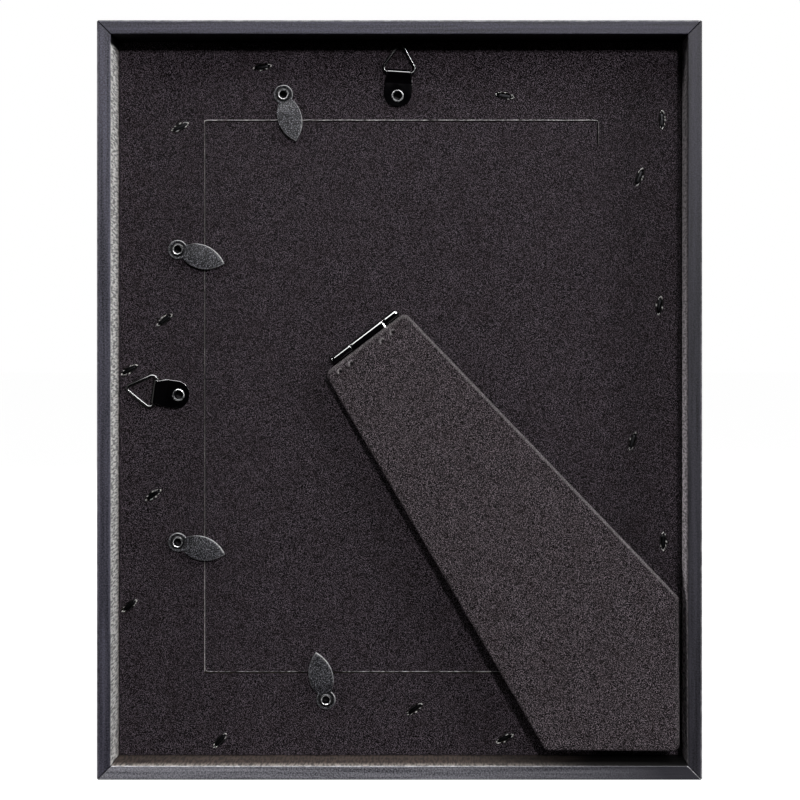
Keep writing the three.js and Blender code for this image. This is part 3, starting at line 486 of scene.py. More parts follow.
def paper_material(name, size, dark, light, patch, thread, relief, edge_colour=None):
    """Paper: speckle between two shades, a tint in broad patches, pale fibres and a matt relief.
    With an edge colour, the paper goes pale where the stored edge value is high, with wear and
    painted highlight, and takes painted shade where the stored dent value is."""
    material, tree, shader, place = new_material(name, {"Specular IOR Level": 0.03})
    marks = put(tree, "ShaderNodeGroup", {"Vector": place, "Size": size}, node_tree=fibre).outputs
    colour = mixed(tree, marks["Speckle"], dark, light)
    colour = mixed(tree, times(tree, marks["Patch"], 0.3), colour, patch)
    colour = mixed(tree, times(tree, marks["Fibre"], 0.2), colour, thread)
    if edge_colour:
        rub_and_highlight = times(tree, stored(tree, "edge"), spread(tree, marks["Speckle"], 0.0, 0.5, 0.6, 1.0))
        colour = mixed(tree, rub_and_highlight, colour, edge_colour)
        colour = mixed(tree, stored(tree, "dent"), colour, dark)
    gloss = spread(tree, marks["Speckle"], 0.0, 1.0, 0.78, 0.95)
    height = times(tree, marks["Speckle"], times(tree, marks["Fibre"], 0.5), "ADD")
    finish_shader(tree, shader, colour, gloss, height, relief, 0.2 * MM)
    return material


SHEET_EDGE = 0.05 * MM
sheet_low, sheet_high = np.array(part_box("picture_sheet"))
white_paper = paper_material(
    "white_paper", 1100.0, shade(226, 222, 212), shade(240, 237, 229), shade(230, 224, 210),
    shade(246, 244, 240), 0.08,
)
outline = rounded(rectangle(sheet_low, sheet_high), GLASS_CORNER)
mesh = skin("plain_sheet", edged_slab(outline, sheet_low[1], sheet_high[1], SHEET_EDGE))
add_piece("plain_sheet", mesh, white_paper, "frame", "white_paper", "picture_sheet")

# Filler card, back board and door: grey and brown board of pressed fibre, cut to size.
# The back board is stapled to the rails, and the door lies in its opening.
grey_board = paper_material(
    "grey_board", 700.0, shade(60, 54, 46), shade(104, 95, 82), shade(84, 70, 54), shade(140, 130, 114), 0.4
)
for node in ("filler_card", "back_board", "door_board"):
    dress(node, grey_board)

# Cover paper: one sheet of thin black paper glued over the back board and the door.
# It was slit with a blade round three sides of the door, which left a raised, frayed lip along the
# slit; the fourth side stays whole and is the door's hinge.
LIP_WIDTH = 0.3 * MM
LIP_HEIGHT = 0.2 * MM
LIP_FAINT = 0.55
LIP_FRAY = (0.6, 1.15)
# How pale the lips are from start to end, torn fibre and painted highlight: top, left and bottom.
LIP_PALE = ((0.8, 0.8), (1.1, 0.9, 0.7, 1.0, 2.9), (0.4, 0.0, 0.55, 0.45, 0.3))
# Upright lips keep this share of their paleness; the rest is a painted highlight on the level lips, which
# face the light from above.
LIP_UPRIGHT = 0.4
LIP_UNEVEN = 0.3
LIP_CORNER = 0.9 * MM
LIP_STEP = 0.8 * MM
LIP_SEED = 7
SLIT = 0.5 * MM
SLIT_RETURN = 8 * MM
paper_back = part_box("cover_paper")[0].y
black_paper = paper_material(
    "black_paper", 3700.0, shade(3, 2, 3), shade(106, 96, 105), shade(30, 21, 22), shade(100, 92, 98), 0.6
)
dress("cover_paper", black_paper)


def resampled(path, step):
    """Path with points set evenly along its length, about a step apart."""
    length = np.concatenate([[0], np.cumsum(np.linalg.norm(np.diff(path, axis=0), axis=1))])
    even = np.linspace(0, length[-1], max(2, int(length[-1] / step) + 1))
    return np.stack([np.interp(even, length, values) for values in path.T], axis=1)


def swept(path, section):
    """Section carried along a flat path. Its first axis lies in the path's plane, square to the path,
    and its second stands on that plane; section is one outline, or one for each point of the path."""
    tangent = unit(np.gradient(path, axis=0))
    normal = np.stack([-tangent[:, 1], tangent[:, 0]], axis=1)
    section = np.broadcast_to(section, (len(path), *np.shape(section)[-2:]))
    flat = path[:, None] + normal[:, None] * section[..., :1]
    return np.concatenate([flat, section[..., 1:]], axis=-1)


door_low, door_high = np.array(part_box("door_board"))
frayed_paper = paper_material(
    "frayed_paper", 2500.0, shade(5, 4, 5), shade(60, 54, 58), shade(22, 17, 18), shade(80, 74, 78), 0.3,
    shade(250, 246, 246),
)
slit_top = door_high[2] + SLIT
slit_left = door_low[0] - SLIT
LIPS = {
    "slit_lip_top": [
        (door_high[0] + SLIT, slit_top - SLIT_RETURN), (door_high[0] + SLIT, slit_top),
        (slit_left, slit_top), (slit_left, slit_top - 0.1 * SLIT_RETURN),
    ],
    "slit_lip_left": [
        (slit_left + SLIT / 2, slit_top), (slit_left + SLIT / 2, door_low[2]),
    ],
    "slit_lip_bottom": [
        (door_low[0], door_low[2] + 0.2 * SLIT_RETURN), (door_low[0], door_low[2]),
        (door_high[0], door_low[2]), (door_high[0], door_low[2] + SLIT_RETURN),
    ],
}
turn = np.linspace(0, 2 * math.pi, 10, endpoint=False)
draw = np.random.default_rng(LIP_SEED)
for (name, corners), pale in zip(LIPS.items(), LIP_PALE):
    path = resampled(rounded(corners, LIP_CORNER, closed=False), LIP_STEP)
    level = np.abs(unit(np.gradient(path, axis=0))[:, 0])
    fray = (draw.uniform(*LIP_FRAY, len(path)) * (LIP_FAINT + (1 - LIP_FAINT) * level))[:, None]
    section = np.stack([np.cos(turn) * LIP_WIDTH / 2 * fray, np.sin(turn) * LIP_HEIGHT * fray], axis=-1)
    grid = swept(path, section)
    world = np.stack([grid[..., 0], paper_back - grid[..., 2], grid[..., 1]], axis=-1)
    rubbed_and_lit = np.interp(np.linspace(0, 1, len(path)), np.linspace(0, 1, len(pale)), pale)
    rubbed_and_lit = draw.normal(rubbed_and_lit, LIP_UNEVEN) * (LIP_UPRIGHT + (1 - LIP_UPRIGHT) * level)
    torn = np.clip(rubbed_and_lit, 0, 1)[:, None]
    add_piece(name, skin(name, world, "flat", {"edge": torn}), frayed_paper, "frame", "black_paper")

# Staples: fifteen narrow staples of flat steel wire, shot through the paper and the board into the
# rails. Each crown lies a little below the paper, in a slot with torn, raised lips.
STAPLE_BEND = 0.6 * MM
STAPLE_EDGE = 0.2 * MM
STAPLE_HALF = 0.45 * MM
SLOT_PLAY = 0.3 * MM
TEAR_HEIGHT = 0.32 * MM
TEAR_OUT = np.array([0.6, 0.5, 0.25, 0.05, -0.1, -0.12]) * MM
TEAR_BASE = np.array([-0.06, 0.02, 0.05, 0.05, 0.0, -0.5]) * MM
TEAR_RISE = np.array([0.0, 0.0, 0.6, 1.0, 0.5, 0.0])
TEAR_PALE = np.array([0.0, 0.0, 0.7, 1.0, 1.0, 0.2])
TEAR_FRAY = (0.45, 0.4)
TEAR_LIMITS = (0.05, 1.4)
TEAR_WHITE = (0.16, 0.6)
TEAR_SEED = 21
TEAR_POINTS = 40
# The staples are steel like the corner nails, but are coloured near black as painted shade of the slots they
# lie in.
staple_steel = metal_material(
    "staple_steel", {"Metallic": 0.9}, 1800.0, shade(5, 5, 6), shade(24, 24, 26), 0.25, 0.45, 0.3
)
torn_paper = paper_material(
    "torn_paper", 2500.0, shade(4, 3, 4), shade(46, 42, 45), shade(24, 20, 21), shade(64, 60, 62), 0.5,
    shade(252, 249, 247),
)


def node_points(node):
    """Corner points of a CAD node as an array."""
    vertices = frame["nodes"][node].data.vertices
    points = np.zeros(3 * len(vertices), np.float32)
    vertices.foreach_get("co", points)
    return points.reshape(-1, 3).astype(float)


def on_back(local, at, direction):
    """Local points laid on the back of the frame: x along a direction in the plane of the back,
    y square to it and z out of the back, from the surface of the cover paper."""
    flat = local[..., :1] * np.array([direction[0], 0, direction[1]])
    flat = flat + local[..., 1:2] * np.array([-direction[1], 0, direction[0]])
    return np.array([at[0], paper_back, at[1]]) + flat - local[..., 2:3] * np.array([0, 1, 0])


draw = np.random.default_rng(TEAR_SEED)
for number in range(1, 16):
    node = f"staple_{number:02d}"
    points = node_points(node)
    flat = points[:, [0, 2]]
    at = (flat.min(axis=0) + flat.max(axis=0)) / 2
    direction = np.linalg.eigh(np.cov((flat - at).T))[1][:, 1]
    crown = np.abs((flat - at) @ direction).max()
    width = np.abs((flat - at) @ np.array([-direction[1], direction[0]])).max()
    top = paper_back - points[:, 1].min()
    end = paper_back - points[:, 1].max()
    wire = STAPLE_HALF
    ends = [(wire - crown, end), (wire - crown, top - wire), (crown - wire, top - wire), (crown - wire, end)]
    path = rounded(ends, STAPLE_BEND, closed=False)
    section = rounded([(-wire, -width), (wire, -width), (wire, width), (-wire, width)], STAPLE_EDGE, steps=4)
    grid = swept(path, section)[..., [0, 2, 1]]
    mesh = skin(f"wire_{node}", on_back(grid, at, direction))
    add_piece(f"wire_{node}", mesh, staple_steel, "frame", "staple_steel", node)
    half = np.array([crown + SLOT_PLAY, width + SLOT_PLAY])
    round_slot = np.linspace(0, 2 * math.pi, TEAR_POINTS, endpoint=False)
    circle = np.stack([np.cos(round_slot), np.sin(round_slot)], axis=1)
    ring = np.sign(circle) * np.abs(circle) ** np.array([1.0, 1.25]) * half
    fray = np.clip(draw.normal(*TEAR_FRAY, TEAR_POINTS), *TEAR_LIMITS)[:, None]
    white = TEAR_WHITE[0] + TEAR_WHITE[1] * circle[:, :1] ** 4
    pale = draw.uniform(0, 1, TEAR_POINTS)[:, None] < white
    tear = ring[:, None] + unit(ring)[:, None] * TEAR_OUT[None, :, None]
    rise = TEAR_BASE + TEAR_HEIGHT * TEAR_RISE * fray
    tear = np.concatenate([tear, rise[..., None]], axis=-1)
    mesh = skin(f"torn_{node}", on_back(tear, at, direction), "joined", {"edge": TEAR_PALE * pale})
    add_piece(f"torn_{node}", mesh, torn_paper, "frame", "black_paper")

# Turn buttons: four leaves of stamped sheet metal with a crackled dark paint. Each turns on an eyelet
# and its leaf reaches over the edge of the door, bent up a little to clear it.
BUTTON_HOLE = 1.75 * MM
BUTTON_LIFT = 0.3 * MM
BUTTON_THICK = 1.0 * MM
BUTTON_EDGE = 0.28 * MM
HOLE_EDGE = 0.1 * MM
BUTTON_BEND = 0.8 * MM
BUTTON_CROWN = 0.3 * MM
NECK_HALF = 2.2 * MM
DISH_RADIUS = 2.15 * MM
DISH_WIDTH = 0.35 * MM
DISH_DEPTH = 0.3 * MM
# Paleness across the edge rings, wear and painted highlight; edges that face the light, up and to the right,
# get the most.
BUTTON_RUB_AND_HIGHLIGHT = (0.0, 0.1, 0.4, 0.9, 0.9, 0.1)
BUTTON_LIT_SIDE = unit(np.array([0.45, 0.9]))
RUB_LEAST = 0.12
BUTTON_NAMES = ("top", "left_upper", "left_lower", "bottom")
joints = {joint["name"]: joint for joint in frame["joints"]}
button_paint, tree, shader, place = new_material("button_paint", {"Specular IOR Level": 0.12})
marks = put(tree, "ShaderNodeGroup", {"Vector": place, "Size": 2300.0}, node_tree=wear).outputs
crackle = put(
    tree, "ShaderNodeTexVoronoi", {"Vector": place, "Scale": 2100.0, "Randomness": 1.0},
    feature="DISTANCE_TO_EDGE",
).outputs["Distance"]
crackle = spread(tree, crackle, 0.0, 0.25)
flecks = spread(tree, times(tree, crackle, marks["Pit"]), 0.2, 0.7)
paint = mixed(tree, flecks, shade(4, 4, 7), shade(125, 124, 132))
# Edges go to bare metal with a painted highlight; the dish round the eyelet is painted shade.
bare = times(tree, stored(tree, "edge"), spread(tree, marks["Pit"], 0.0, 0.6, 0.3, 1.0))
paint = mixed(tree, bare, paint, shade(230, 230, 232))
paint = mixed(tree, stored(tree, "dish_shade"), paint, shade(4, 4, 5))
finish_shader(tree, shader, paint, spread(tree, crackle, 0.0, 1.0, 0.62, 0.4), crackle, 0.5, 0.08 * MM)


def bezier(start, first, second, end, count):
    """Points on a cubic curve, without its first."""
    share = np.linspace(0, 1, count + 1)[1:, None]
    rest = 1 - share
    ends = rest**3 * np.array(start) + share**3 * np.array(end)
    return ends + 3 * rest * share * (rest * np.array(first) + share * np.array(second))


def button_outline(ring, reach, half_width):
    """Outline round the eyelet, anticlockwise: an arc from neck to neck, then two curves to the tip."""
    neck = math.asin(NECK_HALF / ring)
    angle = np.linspace(neck, 2 * math.pi - neck, 56)
    arc = ring * np.stack([np.cos(angle), np.sin(angle)], axis=1)
    neck_x = ring * math.cos(neck)
    swell = (half_width - NECK_HALF / 8) / 0.75
    near = neck_x + 0.26 * (reach - neck_x)
    far = neck_x + 0.7 * (reach - neck_x)
    lower = bezier((neck_x, -NECK_HALF), (near, -swell), (far, -swell), (reach, 0), 40)
    upper = bezier((reach, 0), (far, swell), (near, swell), (neck_x, NECK_HALF), 40)
    return np.vstack([arc, lower, upper[:-1]])


def smooth(value, low, high):
    """Smooth step from 0 to 1 between two values."""
    share = np.clip((value - low) / (high - low), 0, 1)
    return share * share * (3 - 2 * share)


def button_grid(outline, ring, reach, half_width):
    """Leaf as rings round its eyelet hole: out along the under side, round the edge, and back in over
    the top, which is crowned along the leaf and dished round the eyelet. Gives the points, how
    pale each ring's edge is with wear and painted highlight, and where the dish takes painted
    shade."""
    spoke = unit(outline)
    hole = spoke * BUTTON_HOLE
    room = np.linalg.norm(outline, axis=1) - BUTTON_HOLE
    roll = np.linspace(0, math.pi / 2, 5)
    fold = BUTTON_EDGE * (1 - np.cos(roll))
    inner = np.linspace(0.97, 0.03, 16)
    inset = [room * share for share in (1.0, 0.5)] + [np.full(len(room), BUTTON_EDGE)]
    inset += [np.full(len(room), value) for value in fold]
    inset += [BUTTON_EDGE + (room - BUTTON_EDGE) * (1 - share) for share in inner]
    inset = np.array(inset + [room])
    drop = np.concatenate([[0, 0, 0], BUTTON_EDGE * (1 - np.sin(roll)), np.zeros(len(inner)), [HOLE_EDGE]])
    flat = outline[None] - inset[..., None] * spoke[None]
    flat[-1] = hole
    along, across = flat[..., 0], flat[..., 1]
    radius = np.linalg.norm(flat, axis=-1)
    leaf = smooth(along, 0.8 * ring, 0.35 * reach)
    bend = BUTTON_BEND * leaf
    crown = BUTTON_CROWN * leaf * np.clip(1 - (across / half_width) ** 2, 0, 1)
    dish = DISH_DEPTH * np.exp(-(((radius - DISH_RADIUS) / DISH_WIDTH) ** 2)) * (1 - leaf)
    top = BUTTON_LIFT + BUTTON_THICK + bend + crown - dish - drop[:, None]
    under = BUTTON_LIFT + bend
    is_top = np.arange(len(flat))[:, None] >= 3
    edge = np.zeros(len(flat))
    edge[3:9] = BUTTON_RUB_AND_HIGHLIGHT
    dish_shade = dish / DISH_DEPTH * is_top
    return np.concatenate([flat, np.where(is_top, top, under)[..., None]], axis=-1), edge, dish_shade


for name in BUTTON_NAMES:
    node = f"turn_button_{name}"
    pivot = np.array(joints[f"{name}_button_turn"]["pos_m"])[[0, 2]]
    flat = node_points(node)[:, [0, 2]] - pivot
    direction = unit(flat[np.argmax(np.linalg.norm(flat, axis=1))])
    reach, ring = (flat @ direction).max(), -(flat @ direction).min()
    half_width = np.abs(flat @ np.array([-direction[1], direction[0]])).max()
    outline = button_outline(ring, reach, half_width)
    grid, edge, dish_shade = button_grid(outline, ring, reach, half_width)
    tangent = unit(np.roll(outline, -1, axis=0) - np.roll(outline, 1, axis=0))
    across = np.array([-direction[1], direction[0]])
    outwards = tangent[:, 1:] * direction - tangent[:, :1] * across
    rubbed_and_lit = RUB_LEAST + (1 - RUB_LEAST) * np.clip(outwards @ BUTTON_LIT_SIDE, 0, 1)
    wear_and_light = {"edge": edge[:, None] * rubbed_and_lit[None], "dish_shade": dish_shade}
    mesh = skin(f"painted_leaf_{name}", on_back(grid, pivot, direction), "joined", wear_and_light, sharp=50)
    add_piece(f"painted_leaf_{name}", mesh, button_paint, f"{name}_button", "button_paint", node)

# Eyelets: six short steel tubes, blackened, rolled over on what they hold and clinched in the board.
# Four carry the turn buttons and two hold the hangers.
EYELET_BORE = 1.25 * MM
EYELET_TUBE = 1.55 * MM
EYELET_FLANGE = 2.05 * MM
EYELET_LIP = 0.55 * MM
EYELET_FOOT = 0.4 * MM
EYELET_SIDES = 48
# Pale ring on the rolled lip, wear and painted highlight: on the inner crest for the buttons and the outer
# crest for the hangers.
RUB_AND_HIGHLIGHT_BUTTON = 2.2
RUB_AND_HIGHLIGHT_HANGER = 1.0
RUB_AND_HIGHLIGHT_WIDTH = 0.36
eyelet_metal = metal_material(
    "eyelet_metal", {"Metallic": 0.4}, 1600.0, shade(8, 8, 10), shade(40, 40, 44), 0.2, 0.34, 0.15,
    shade(240, 240, 242),
)


def turned_round(profile, sides):
    """Profile of radius and height turned about the z axis."""
    angle = np.linspace(0, 2 * math.pi, sides, endpoint=False)
    radius, height = np.asarray(profile).T
    circle = np.stack([np.cos(angle), np.sin(angle)], axis=1)
    heights = np.broadcast_to(height[:, None, None], (len(radius), sides, 1))
    return np.concatenate([radius[:, None, None] * circle[None], heights], axis=-1)


for name in [f"button_eyelet_{name}" for name in BUTTON_NAMES] + ["hanger_eyelet_top", "hanger_eyelet_side"]:
    lowest, highest = np.array(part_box(name))
    at = ((lowest + highest) / 2)[[0, 2]]
    foot, lip = paper_back - highest[1], paper_back - lowest[1] - EYELET_LIP
    roll = np.linspace(0, math.pi, 14)
    lip_middle = (EYELET_BORE + EYELET_FLANGE) / 2
    lip_reach = (EYELET_FLANGE - EYELET_BORE) / 2
    rolled = np.stack([lip_middle + lip_reach * np.cos(roll), lip + EYELET_LIP * np.sin(roll)], axis=1)
    profile = [(EYELET_BORE, foot), (EYELET_FLANGE, foot), (EYELET_FLANGE, foot + EYELET_FOOT)]
    profile += [(EYELET_TUBE, foot + EYELET_FOOT), (EYELET_TUBE, lip)]
    grid = turned_round(np.vstack([profile, rolled]), EYELET_SIDES)
    crest = RUB_AND_HIGHLIGHT_HANGER if name.startswith("hanger") else RUB_AND_HIGHLIGHT_BUTTON
    rub_and_highlight = np.concatenate([np.zeros(len(profile)), np.exp(-(((roll - crest) / RUB_AND_HIGHLIGHT_WIDTH) ** 2))])
    mesh = skin(f"rolled_{name}", on_back(grid, at, (1, 0)), "joined", {"edge": rub_and_highlight[:, None]})
    add_piece(f"rolled_{name}", mesh, eyelet_metal, "frame", "eyelet_metal", name)

# Hangers: two straps of thin black steel, each folded round the bar of a triangle of bent wire and
# pierced for its eyelet; one hangs the frame upright and one on its side.
STRAP_THICK = 0.5 * MM
STRAP_ROUND = 0.2 * MM
STRAP_HALF = 4.6 * MM
FOLD_HALF = 3.9 * MM
STRAP_TAIL = 3.5 * MM
TAIL_ROUND = 4.2 * MM
STRAP_REACH = 7.5 * MM
STRAP_SLOPE = math.radians(30)
NARROW_FROM = 2.2 * MM
NARROW_TO = 1.0 * MM
LANDING_ROOM = 0.2 * MM
LAYER_GAP = 0.1 * MM
LOOP_RADIUS = 1.1 * MM
STRAP_HOLE = 1.75 * MM
WIRE_RADIUS = 0.55 * MM
RING_HALF_BASE = 6.5 * MM
RING_HEIGHT = 10.5 * MM
RING_BENDS = (1.7 * MM, 1.0 * MM, 1.7 * MM)
RING_ENDS = 0.2 * MM
WIRE_SIDES = 20
black_metal = metal_material(
    "black_metal", {"Specular IOR Level": 0.8}, 1400.0, shade(2, 2, 3), shade(8, 7, 9), 0.05, 0.09, 0.04
)
ring_wire = metal_material(
    "ring_wire", {"Specular IOR Level": 0.8}, 1400.0, shade(2, 2, 3), shade(12, 11, 13), 0.15, 0.24, 0.06
)


def cut_out(mesh, tool):
    """Mesh with the room that a closed tool takes cut out of it."""
    body, cutter = bpy.data.objects.new("body", mesh), bpy.data.objects.new("cutter", tool)
    for thing in (body, cutter):
        bpy.context.scene.collection.objects.link(thing)
    removal = body.modifiers.new("removal", "BOOLEAN")
    removal.operation, removal.object, removal.solver = "DIFFERENCE", cutter, "EXACT"
    graph = bpy.context.evaluated_depsgraph_get()
    cut = bpy.data.meshes.new_from_object(body.evaluated_get(graph))
    cut.name = mesh.name
    for thing in (body, cutter):
        bpy.data.objects.remove(thing)
    cut.set_sharp_from_angle(angle=math.radians(40))
    return cut


def strap_grid():
    """Strip carried along its folded path, seen from its side: along the board, round the bar, down
    a slope and back over itself. Its width narrows at the fold and is rounded at the tail."""
    bar = LOOP_RADIUS + STRAP_THICK / 2
    lower, upper = STRAP_THICK / 2, 1.5 * STRAP_THICK + LAYER_GAP
    leave = math.pi / 2 + STRAP_SLOPE
    angle = np.linspace(-math.pi / 2, leave, 26)
    loop = np.stack([STRAP_REACH + LOOP_RADIUS * np.cos(angle), bar + LOOP_RADIUS * np.sin(angle)], axis=1)
    landing = loop[-1, 0] - (loop[-1, 1] - upper) / math.tan(STRAP_SLOPE)
    tail = -STRAP_TAIL + TAIL_ROUND * (1 - np.cos(np.linspace(0, math.pi / 2, 10)))
    flat = np.concatenate([tail, np.linspace(tail[-1], STRAP_REACH, 9)[1:-1]])
    under = np.stack([flat, np.full(len(flat), lower)], axis=1)
    over = flat[flat < landing - LANDING_ROOM][::-1]
    over = np.stack([over, np.full(len(over), upper)], axis=1)
    path = np.vstack([under, loop, [(landing, upper)], over])
    past_tail = np.clip(TAIL_ROUND - STRAP_TAIL - path[:, 0], 0, TAIL_ROUND)
    corner = TAIL_ROUND - np.sqrt(np.maximum(TAIL_ROUND**2 - past_tail**2, 0))
    fold = smooth(path[:, 0], STRAP_REACH - NARROW_FROM, STRAP_REACH - NARROW_TO)
    half = STRAP_HALF - (STRAP_HALF - FOLD_HALF) * fold - corner
    thin = STRAP_THICK / 2
    section = rounded([(-thin, -thin), (thin, -thin), (thin, thin), (-thin, thin)], STRAP_ROUND, steps=5)
    across = section[:, 1] + np.sign(section[:, 1]) * (half[:, None] - thin)
    sections = np.stack([np.tile(section[:, 0], (len(path), 1)), across], axis=-1)
    return swept(path, sections)[..., [0, 2, 1]]


def ring_grid():
    """Round wire carried along a triangle with bent corners, from one end to the other on its bar."""
    corners = [(0, -RING_HALF_BASE), (RING_HEIGHT, 0), (0, RING_HALF_BASE)]
    path = rounded(corners, RING_BENDS, steps=14)
    path = np.vstack([[(0, -RING_ENDS)], path, [(0, RING_ENDS)]])
    angle = np.linspace(0, 2 * math.pi, WIRE_SIDES, endpoint=False)
    grid = swept(path, WIRE_RADIUS * np.stack([np.cos(angle), np.sin(angle)], axis=1))
    return grid + np.array([STRAP_REACH, 0, LOOP_RADIUS + STRAP_THICK / 2])


strap_tool = turned_round([(STRAP_HOLE, -STRAP_THICK), (STRAP_HOLE, 4 * STRAP_THICK)], EYELET_SIDES)
for name in ("top", "side"):
    lowest, highest = np.array(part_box(f"hanger_eyelet_{name}"))
    at = ((lowest + highest) / 2)[[0, 2]]
    direction = unit(np.array(joints[f"{name}_ring_swing"]["pos_m"])[[0, 2]] - at)
    mesh = skin(f"folded_strap_{name}", on_back(strap_grid(), at, direction))
    mesh = cut_out(mesh, skin("strap_hole", on_back(strap_tool, at, direction)))
    strap = add_piece(
        f"folded_strap_{name}", mesh, black_metal, "frame", "black_metal", f"hanger_strap_{name}"
    )
    keep_flat(strap)
    mesh = skin(f"bent_ring_{name}", on_back(ring_grid(), at, direction))
    add_piece(f"bent_ring_{name}", mesh, ring_wire, f"{name}_ring", "black_metal", f"hanger_ring_{name}")

# Leg hinge: two leaves of black sheet steel rolled round one pin, one riveted to the door and one to
# the leg. Only the barrel and the pin's heads show while the leg lies down.
LEAF_THICK = 0.6 * MM
LEAF_HALF = 12 * MM
LEAF_LENGTH = 9 * MM
LEAF_EDGE = 0.1 * MM
ROLL_RADIUS = 1.2 * MM
ROLL_TURN = math.radians(318)
BARREL_HALF = 13.25 * MM
LEFT_END = -5.65 * MM
RIGHT_START = 7.85 * MM
KNUCKLE_GAP = 0.2 * MM
PLATE_START = 1.8 * MM
leg_joint = joints["leg_fold"]
pin_at = np.array(leg_joint["pos_m"])
pin_run = -np.array(leg_joint["axis"])
leg_up = np.array([-pin_run[2], 0, pin_run[0]])
leg_open = -math.radians(leg_joint["range_deg"][0])


def at_hinge(local, opened=0.0):
    """Local points at the hinge: x along the pin, -y down the leg and z out of the back; opened turns
    them about the pin, so that the leg's foot comes away from the back."""
    along, up, out = np.moveaxis(np.asarray(local, float), -1, 0)
    raised = up * math.cos(opened) + out * math.sin(opened)
    lifted = out * math.cos(opened) - up * math.sin(opened)
    flat = along[..., None] * pin_run + raised[..., None] * leg_up
    return pin_at + flat - lifted[..., None] * np.array([0, 1, 0])


def rolled_leaf(name, plate_middle, knuckles, side):
    """Leaf as a sheet on a grid: across it, along the pin; down it, from the plate's end to the pin and
    round it. Faces between the knuckles are left out. side is -1 for a leaf that rolls up from the
    door and 1 for one that rolls down from the leg."""
    plate = np.linspace(-LEAF_LENGTH, -PLATE_START, 8)
    web = np.linspace(-PLATE_START, 0, 5)[1:]
    angle = side * (math.pi / 2 - np.linspace(0, ROLL_TURN, 34)[1:])
    down = np.concatenate([plate, web, ROLL_RADIUS * np.cos(angle)])
    out = np.concatenate([np.full(len(plate) + len(web), side * ROLL_RADIUS), ROLL_RADIUS * np.sin(angle)])
    edges = [plate_middle - LEAF_HALF, plate_middle + LEAF_HALF, *np.ravel(knuckles)]
    along = np.unique(np.round(np.concatenate([edges, np.linspace(-BARREL_HALF, BARREL_HALF, 20)]), 6))
    grid = np.stack([
        np.broadcast_to(along[None], (len(down), len(along))),
        np.broadcast_to(down[:, None], (len(down), len(along))),
        np.broadcast_to(out[:, None], (len(down), len(along))),
    ], axis=-1)
    centre = (along[1:] + along[:-1]) / 2
    in_plate = np.abs(centre - plate_middle) < LEAF_HALF
    in_roll = np.any([(centre > start) & (centre < end) for start, end in knuckles], axis=0)
    is_plate = np.arange(len(down) - 1) < len(plate) - 1
    keep = np.where(is_plate[:, None], in_plate[None], in_roll[None])
    index = np.arange(grid[..., 0].size).reshape(grid.shape[:2])
    used, faces = np.unique(quads_of(index)[keep], return_inverse=True)
    mesh = bpy.data.meshes.new(name)
    opened = leg_open if side > 0 else 0.0
    mesh.from_pydata(at_hinge(grid, opened).reshape(-1, 3)[used], [], faces.reshape(-1, 4).tolist())
    mesh.shade_smooth()
    return mesh


knuckles_door = [(-BARREL_HALF, LEFT_END), (RIGHT_START, BARREL_HALF)]
knuckles_leg = [(LEFT_END + KNUCKLE_GAP, RIGHT_START - KNUCKLE_GAP)]
leg_leaf_middle = (LEFT_END + RIGHT_START) / 2
LEAVES = {
    "door": ("frame", 0.0, knuckles_door, -1),
    "leg": ("leg", leg_leaf_middle, knuckles_leg, 1),
}
for name, (body, plate_middle, knuckles, side) in LEAVES.items():
    mesh = rolled_leaf(f"rolled_leaf_{name}", plate_middle, knuckles, side)
    leaf = add_piece(f"rolled_leaf_{name}", mesh, black_metal, body, "black_metal", f"{name}_hinge_leaf")
    wall = leaf.modifiers.new("wall", "SOLIDIFY")
    wall.thickness, wall.offset = LEAF_THICK, 0.0
    edge = leaf.modifiers.new("edge", "BEVEL")
    edge.width, edge.segments, edge.limit_method = LEAF_EDGE, 2, "ANGLE"

# Hinge pin: a black steel rod through the barrel of the hinge, which holds both leaves together.
# A low domed head on each end keeps it in.
PIN_RADIUS = 0.65 * MM
PIN_HEAD = 1.05 * MM
PIN_HEAD_THICK = 0.45 * MM
PIN_GAP = 0.1 * MM
PIN_SIDES = 24
dome = np.linspace(0, math.pi / 2, 7)[:-1]
head = np.stack([PIN_HEAD * np.cos(dome), PIN_HEAD_THICK * np.sin(dome)], axis=1)
pin_end = BARREL_HALF + PIN_GAP
right = np.vstack([[(PIN_RADIUS, pin_end), (PIN_HEAD, pin_end)], head + np.array([0, pin_end])])
left = right[::-1] * np.array([1, -1])
pin = turned_round(np.vstack([left, right]), PIN_SIDES)[..., [2, 0, 1]]
add_piece("headed_pin", skin("headed_pin", at_hinge(pin), "pointed"), black_metal, "frame", "black_metal",
          "hinge_pin")

